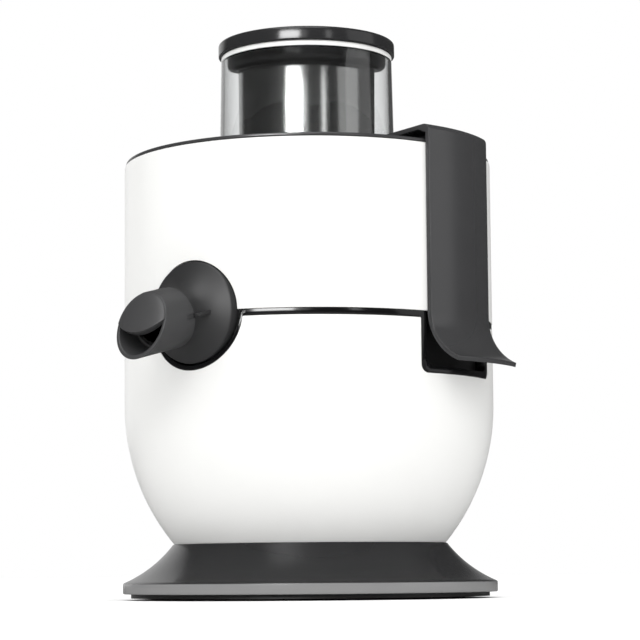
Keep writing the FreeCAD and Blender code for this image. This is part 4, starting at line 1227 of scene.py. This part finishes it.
class JUICER_OT_stage(Operator):
    """Lay the pale floor, light the juicer like a studio packshot and set the camera"""

    bl_idname = "juicer.stage"
    bl_label = "Stage"

    def execute(self, context):
        self.floor()
        self.surroundings(context.scene)
        softbox("strip", -21.0, 1.6, 0.62, (0.72, 0.42), 18.0)
        softbox("strip_fade", -3.0, 1.6, 0.62, (0.22, 0.42), 1.2)
        softbox("sliver", 28.5, 1.6, 0.62, (0.2, 0.42), 2.2)
        softbox("right_panel", 75.0, 1.6, 0.5, (1.2, 1.0), 0.6)
        softbox("key", -3.0, 1.5, 1.2, (0.9, 0.9), 4.4, "matt")
        self.overhead(context.scene.juicer_stage)
        self.camera(context.scene)
        return {"FINISHED"}

    def floor(self):
        """A plain pale floor, matt so that the lights leave no glare on it."""
        clear_selection()
        bpy.ops.mesh.primitive_plane_add(size=12, location=(0, 0, 0))
        ground = christen("floor")
        tones = bpy.context.scene.juicer_stage
        material, tree, shader, spot = new_material("matt_white_floor", tuple(tones.floor), 0.7)
        vary(tree, shader, spot, tuple(tones.floor), 0.004, 400, 0.7, 0.02)
        shader.inputs["Specular IOR Level"].default_value = 0.0
        ground.data.materials.append(material)

    def overhead(self, stage):
        """A ceiling softbox in front, for the faces that look up."""
        turn = Matrix.Rotation(stage.azimuth, 3, "Z")
        lamp("ceiling", turn @ Vector((-0.18, -0.72, 1.3)), turn.to_quaternion(), (1.14, 0.95), 3.0, "mirror")

    def surroundings(self, scene):
        """White behind the juicer; an even soft glow for matt surfaces and a dark studio for glossy ones."""
        world = bpy.data.worlds.new("studio")
        scene.world = world
        world.use_nodes = True
        tree = world.node_tree
        tree.nodes.clear()
        way = add_node(tree, "ShaderNodeTexCoord").outputs["Generated"]
        rays = add_node(tree, "ShaderNodeLightPath").outputs
        turn = Matrix.Rotation(scene.juicer_stage.azimuth, 3, "Z")
        lit_from = turn @ Vector((-0.1, -0.84, 0.53))
        facing = add_node(tree, "ShaderNodeVectorMath", {"operation": "DOT_PRODUCT", 1: lit_from}, {0: way})
        glow = add_node(tree, "ShaderNodeMapRange",
                        {"From Min": -1.0, "From Max": 1.0, "To Min": 0.66, "To Max": 0.84},
                        {"Value": facing.outputs["Value"]})
        rise = add_node(tree, "ShaderNodeSeparateXYZ", {}, {"Vector": way})
        overhead = add_node(tree, "ShaderNodeMapRange",
                            {"From Min": 0.0, "From Max": 1.0, "To Min": 1.0, "To Max": 1.7},
                            {"Value": rise.outputs["Z"]})
        soft = add_node(tree, "ShaderNodeMath", {"operation": "MULTIPLY"},
                        {0: glow.outputs["Result"], 1: overhead.outputs["Result"]})
        dusk = add_node(tree, "ShaderNodeMapRange",
                        {"From Min": -0.1, "From Max": 0.9, "To Min": 0.035, "To Max": 0.09},
                        {"Value": rise.outputs["Z"]})
        behind = turn @ Vector((-0.28, 0.94, 0.2))
        away = add_node(tree, "ShaderNodeVectorMath", {"operation": "DOT_PRODUCT", 1: behind}, {0: way})
        backdrop = add_node(tree, "ShaderNodeMapRange",
                            {"interpolation_type": "SMOOTHSTEP", "From Min": 0.84, "From Max": 0.97,
                             "To Min": 0.0, "To Max": 0.7}, {"Value": away.outputs["Value"]})
        studio = add_node(tree, "ShaderNodeMath", {"operation": "ADD"},
                          {0: dusk.outputs["Result"], 1: backdrop.outputs["Result"]})
        mirrored = add_node(tree, "ShaderNodeMath", {"operation": "GREATER_THAN", 1: 0.5},
                            {0: rays["Glossy Depth"]})
        bounced = add_node(tree, "ShaderNodeMath", {"operation": "GREATER_THAN", 1: 0.5},
                           {0: rays["Diffuse Depth"]})
        matt = add_node(tree, "ShaderNodeMix", {"data_type": "FLOAT", 2: 1.0},
                        {0: bounced.outputs["Value"], 3: soft.outputs["Value"]})
        strength = add_node(tree, "ShaderNodeMix", {"data_type": "FLOAT"},
                            {0: mirrored.outputs["Value"], 2: matt.outputs[0], 3: studio.outputs["Value"]})
        shine = add_node(
            tree, "ShaderNodeBackground", {"Color": (1, 1, 1, 1)}, {"Strength": strength.outputs[0]})
        add_node(tree, "ShaderNodeOutputWorld", {}, {"Surface": shine.outputs["Background"]})
        scene.view_settings.view_transform = "Standard"

    def camera(self, scene):
        """Stand the camera low in front of the juicer, to the right of its spout."""
        stage = scene.juicer_stage
        spot = Vector((math.sin(stage.azimuth), -math.cos(stage.azimuth), 0)) * stage.distance
        spot.z = stage.height
        bpy.ops.object.camera_add()
        eye = bpy.context.view_layer.objects.active
        eye.name = "packshot_camera"
        eye.matrix_world = (Matrix.Translation(spot)
                            @ Matrix.Rotation(stage.azimuth + stage.aim, 4, "Z")
                            @ Matrix.Rotation(TURN / 4 + stage.pitch, 4, "X")
                            @ Matrix.Rotation(stage.roll, 4, "Z"))
        eye.data.lens = stage.lens
        eye.data.sensor_width = 36.0
        scene.camera = eye


# ---------------------------------------------------------------- panel, registration and run
STEPS = (
    JUICER_OT_finishes, JUICER_OT_stage, JUICER_OT_lower_housing, JUICER_OT_upper_housing,
    JUICER_OT_seam_trim, JUICER_OT_base, JUICER_OT_lid, JUICER_OT_chute, JUICER_OT_pusher, JUICER_OT_clamps,
    JUICER_OT_spout_bell, JUICER_OT_nozzle, JUICER_OT_knob, JUICER_OT_basket, JUICER_OT_containers,
    JUICER_OT_spring,
)


class JUICER_PT_panel(Panel):
    """The juicer's pieces and settings"""

    bl_idname = "JUICER_PT_panel"
    bl_label = "Centrifugal juicer"
    bl_space_type = "VIEW_3D"
    bl_region_type = "UI"
    bl_category = "Juicer"

    def draw(self, context):
        layout = self.layout
        for step in STEPS:
            layout.operator(step.bl_idname)
        for group in (context.scene.juicer_sizes, context.scene.juicer_colours, context.scene.juicer_stage):
            column = layout.box().column()
            for name in group.__annotations__:
                column.prop(group, name)


GROUPS = {"juicer_sizes": JuicerSizes, "juicer_colours": JuicerColours, "juicer_stage": JuicerStage}


def register():
    """Add the classes, and the settings to every scene."""
    for kind in (*GROUPS.values(), *STEPS, JUICER_PT_panel):
        bpy.utils.register_class(kind)
    for name, kind in GROUPS.items():
        setattr(bpy.types.Scene, name, PointerProperty(type=kind))


def unregister():
    """Take the settings and the classes away again."""
    for name in GROUPS:
        delattr(bpy.types.Scene, name)
    for kind in reversed((*GROUPS.values(), *STEPS, JUICER_PT_panel)):
        bpy.utils.unregister_class(kind)


def main():
    """Run every step in order."""
    register()
    for step in STEPS:
        group, name = step.bl_idname.split(".")
        getattr(getattr(bpy.ops, group), name)()
    clear_selection()


if __name__ == "__main__":
    main()
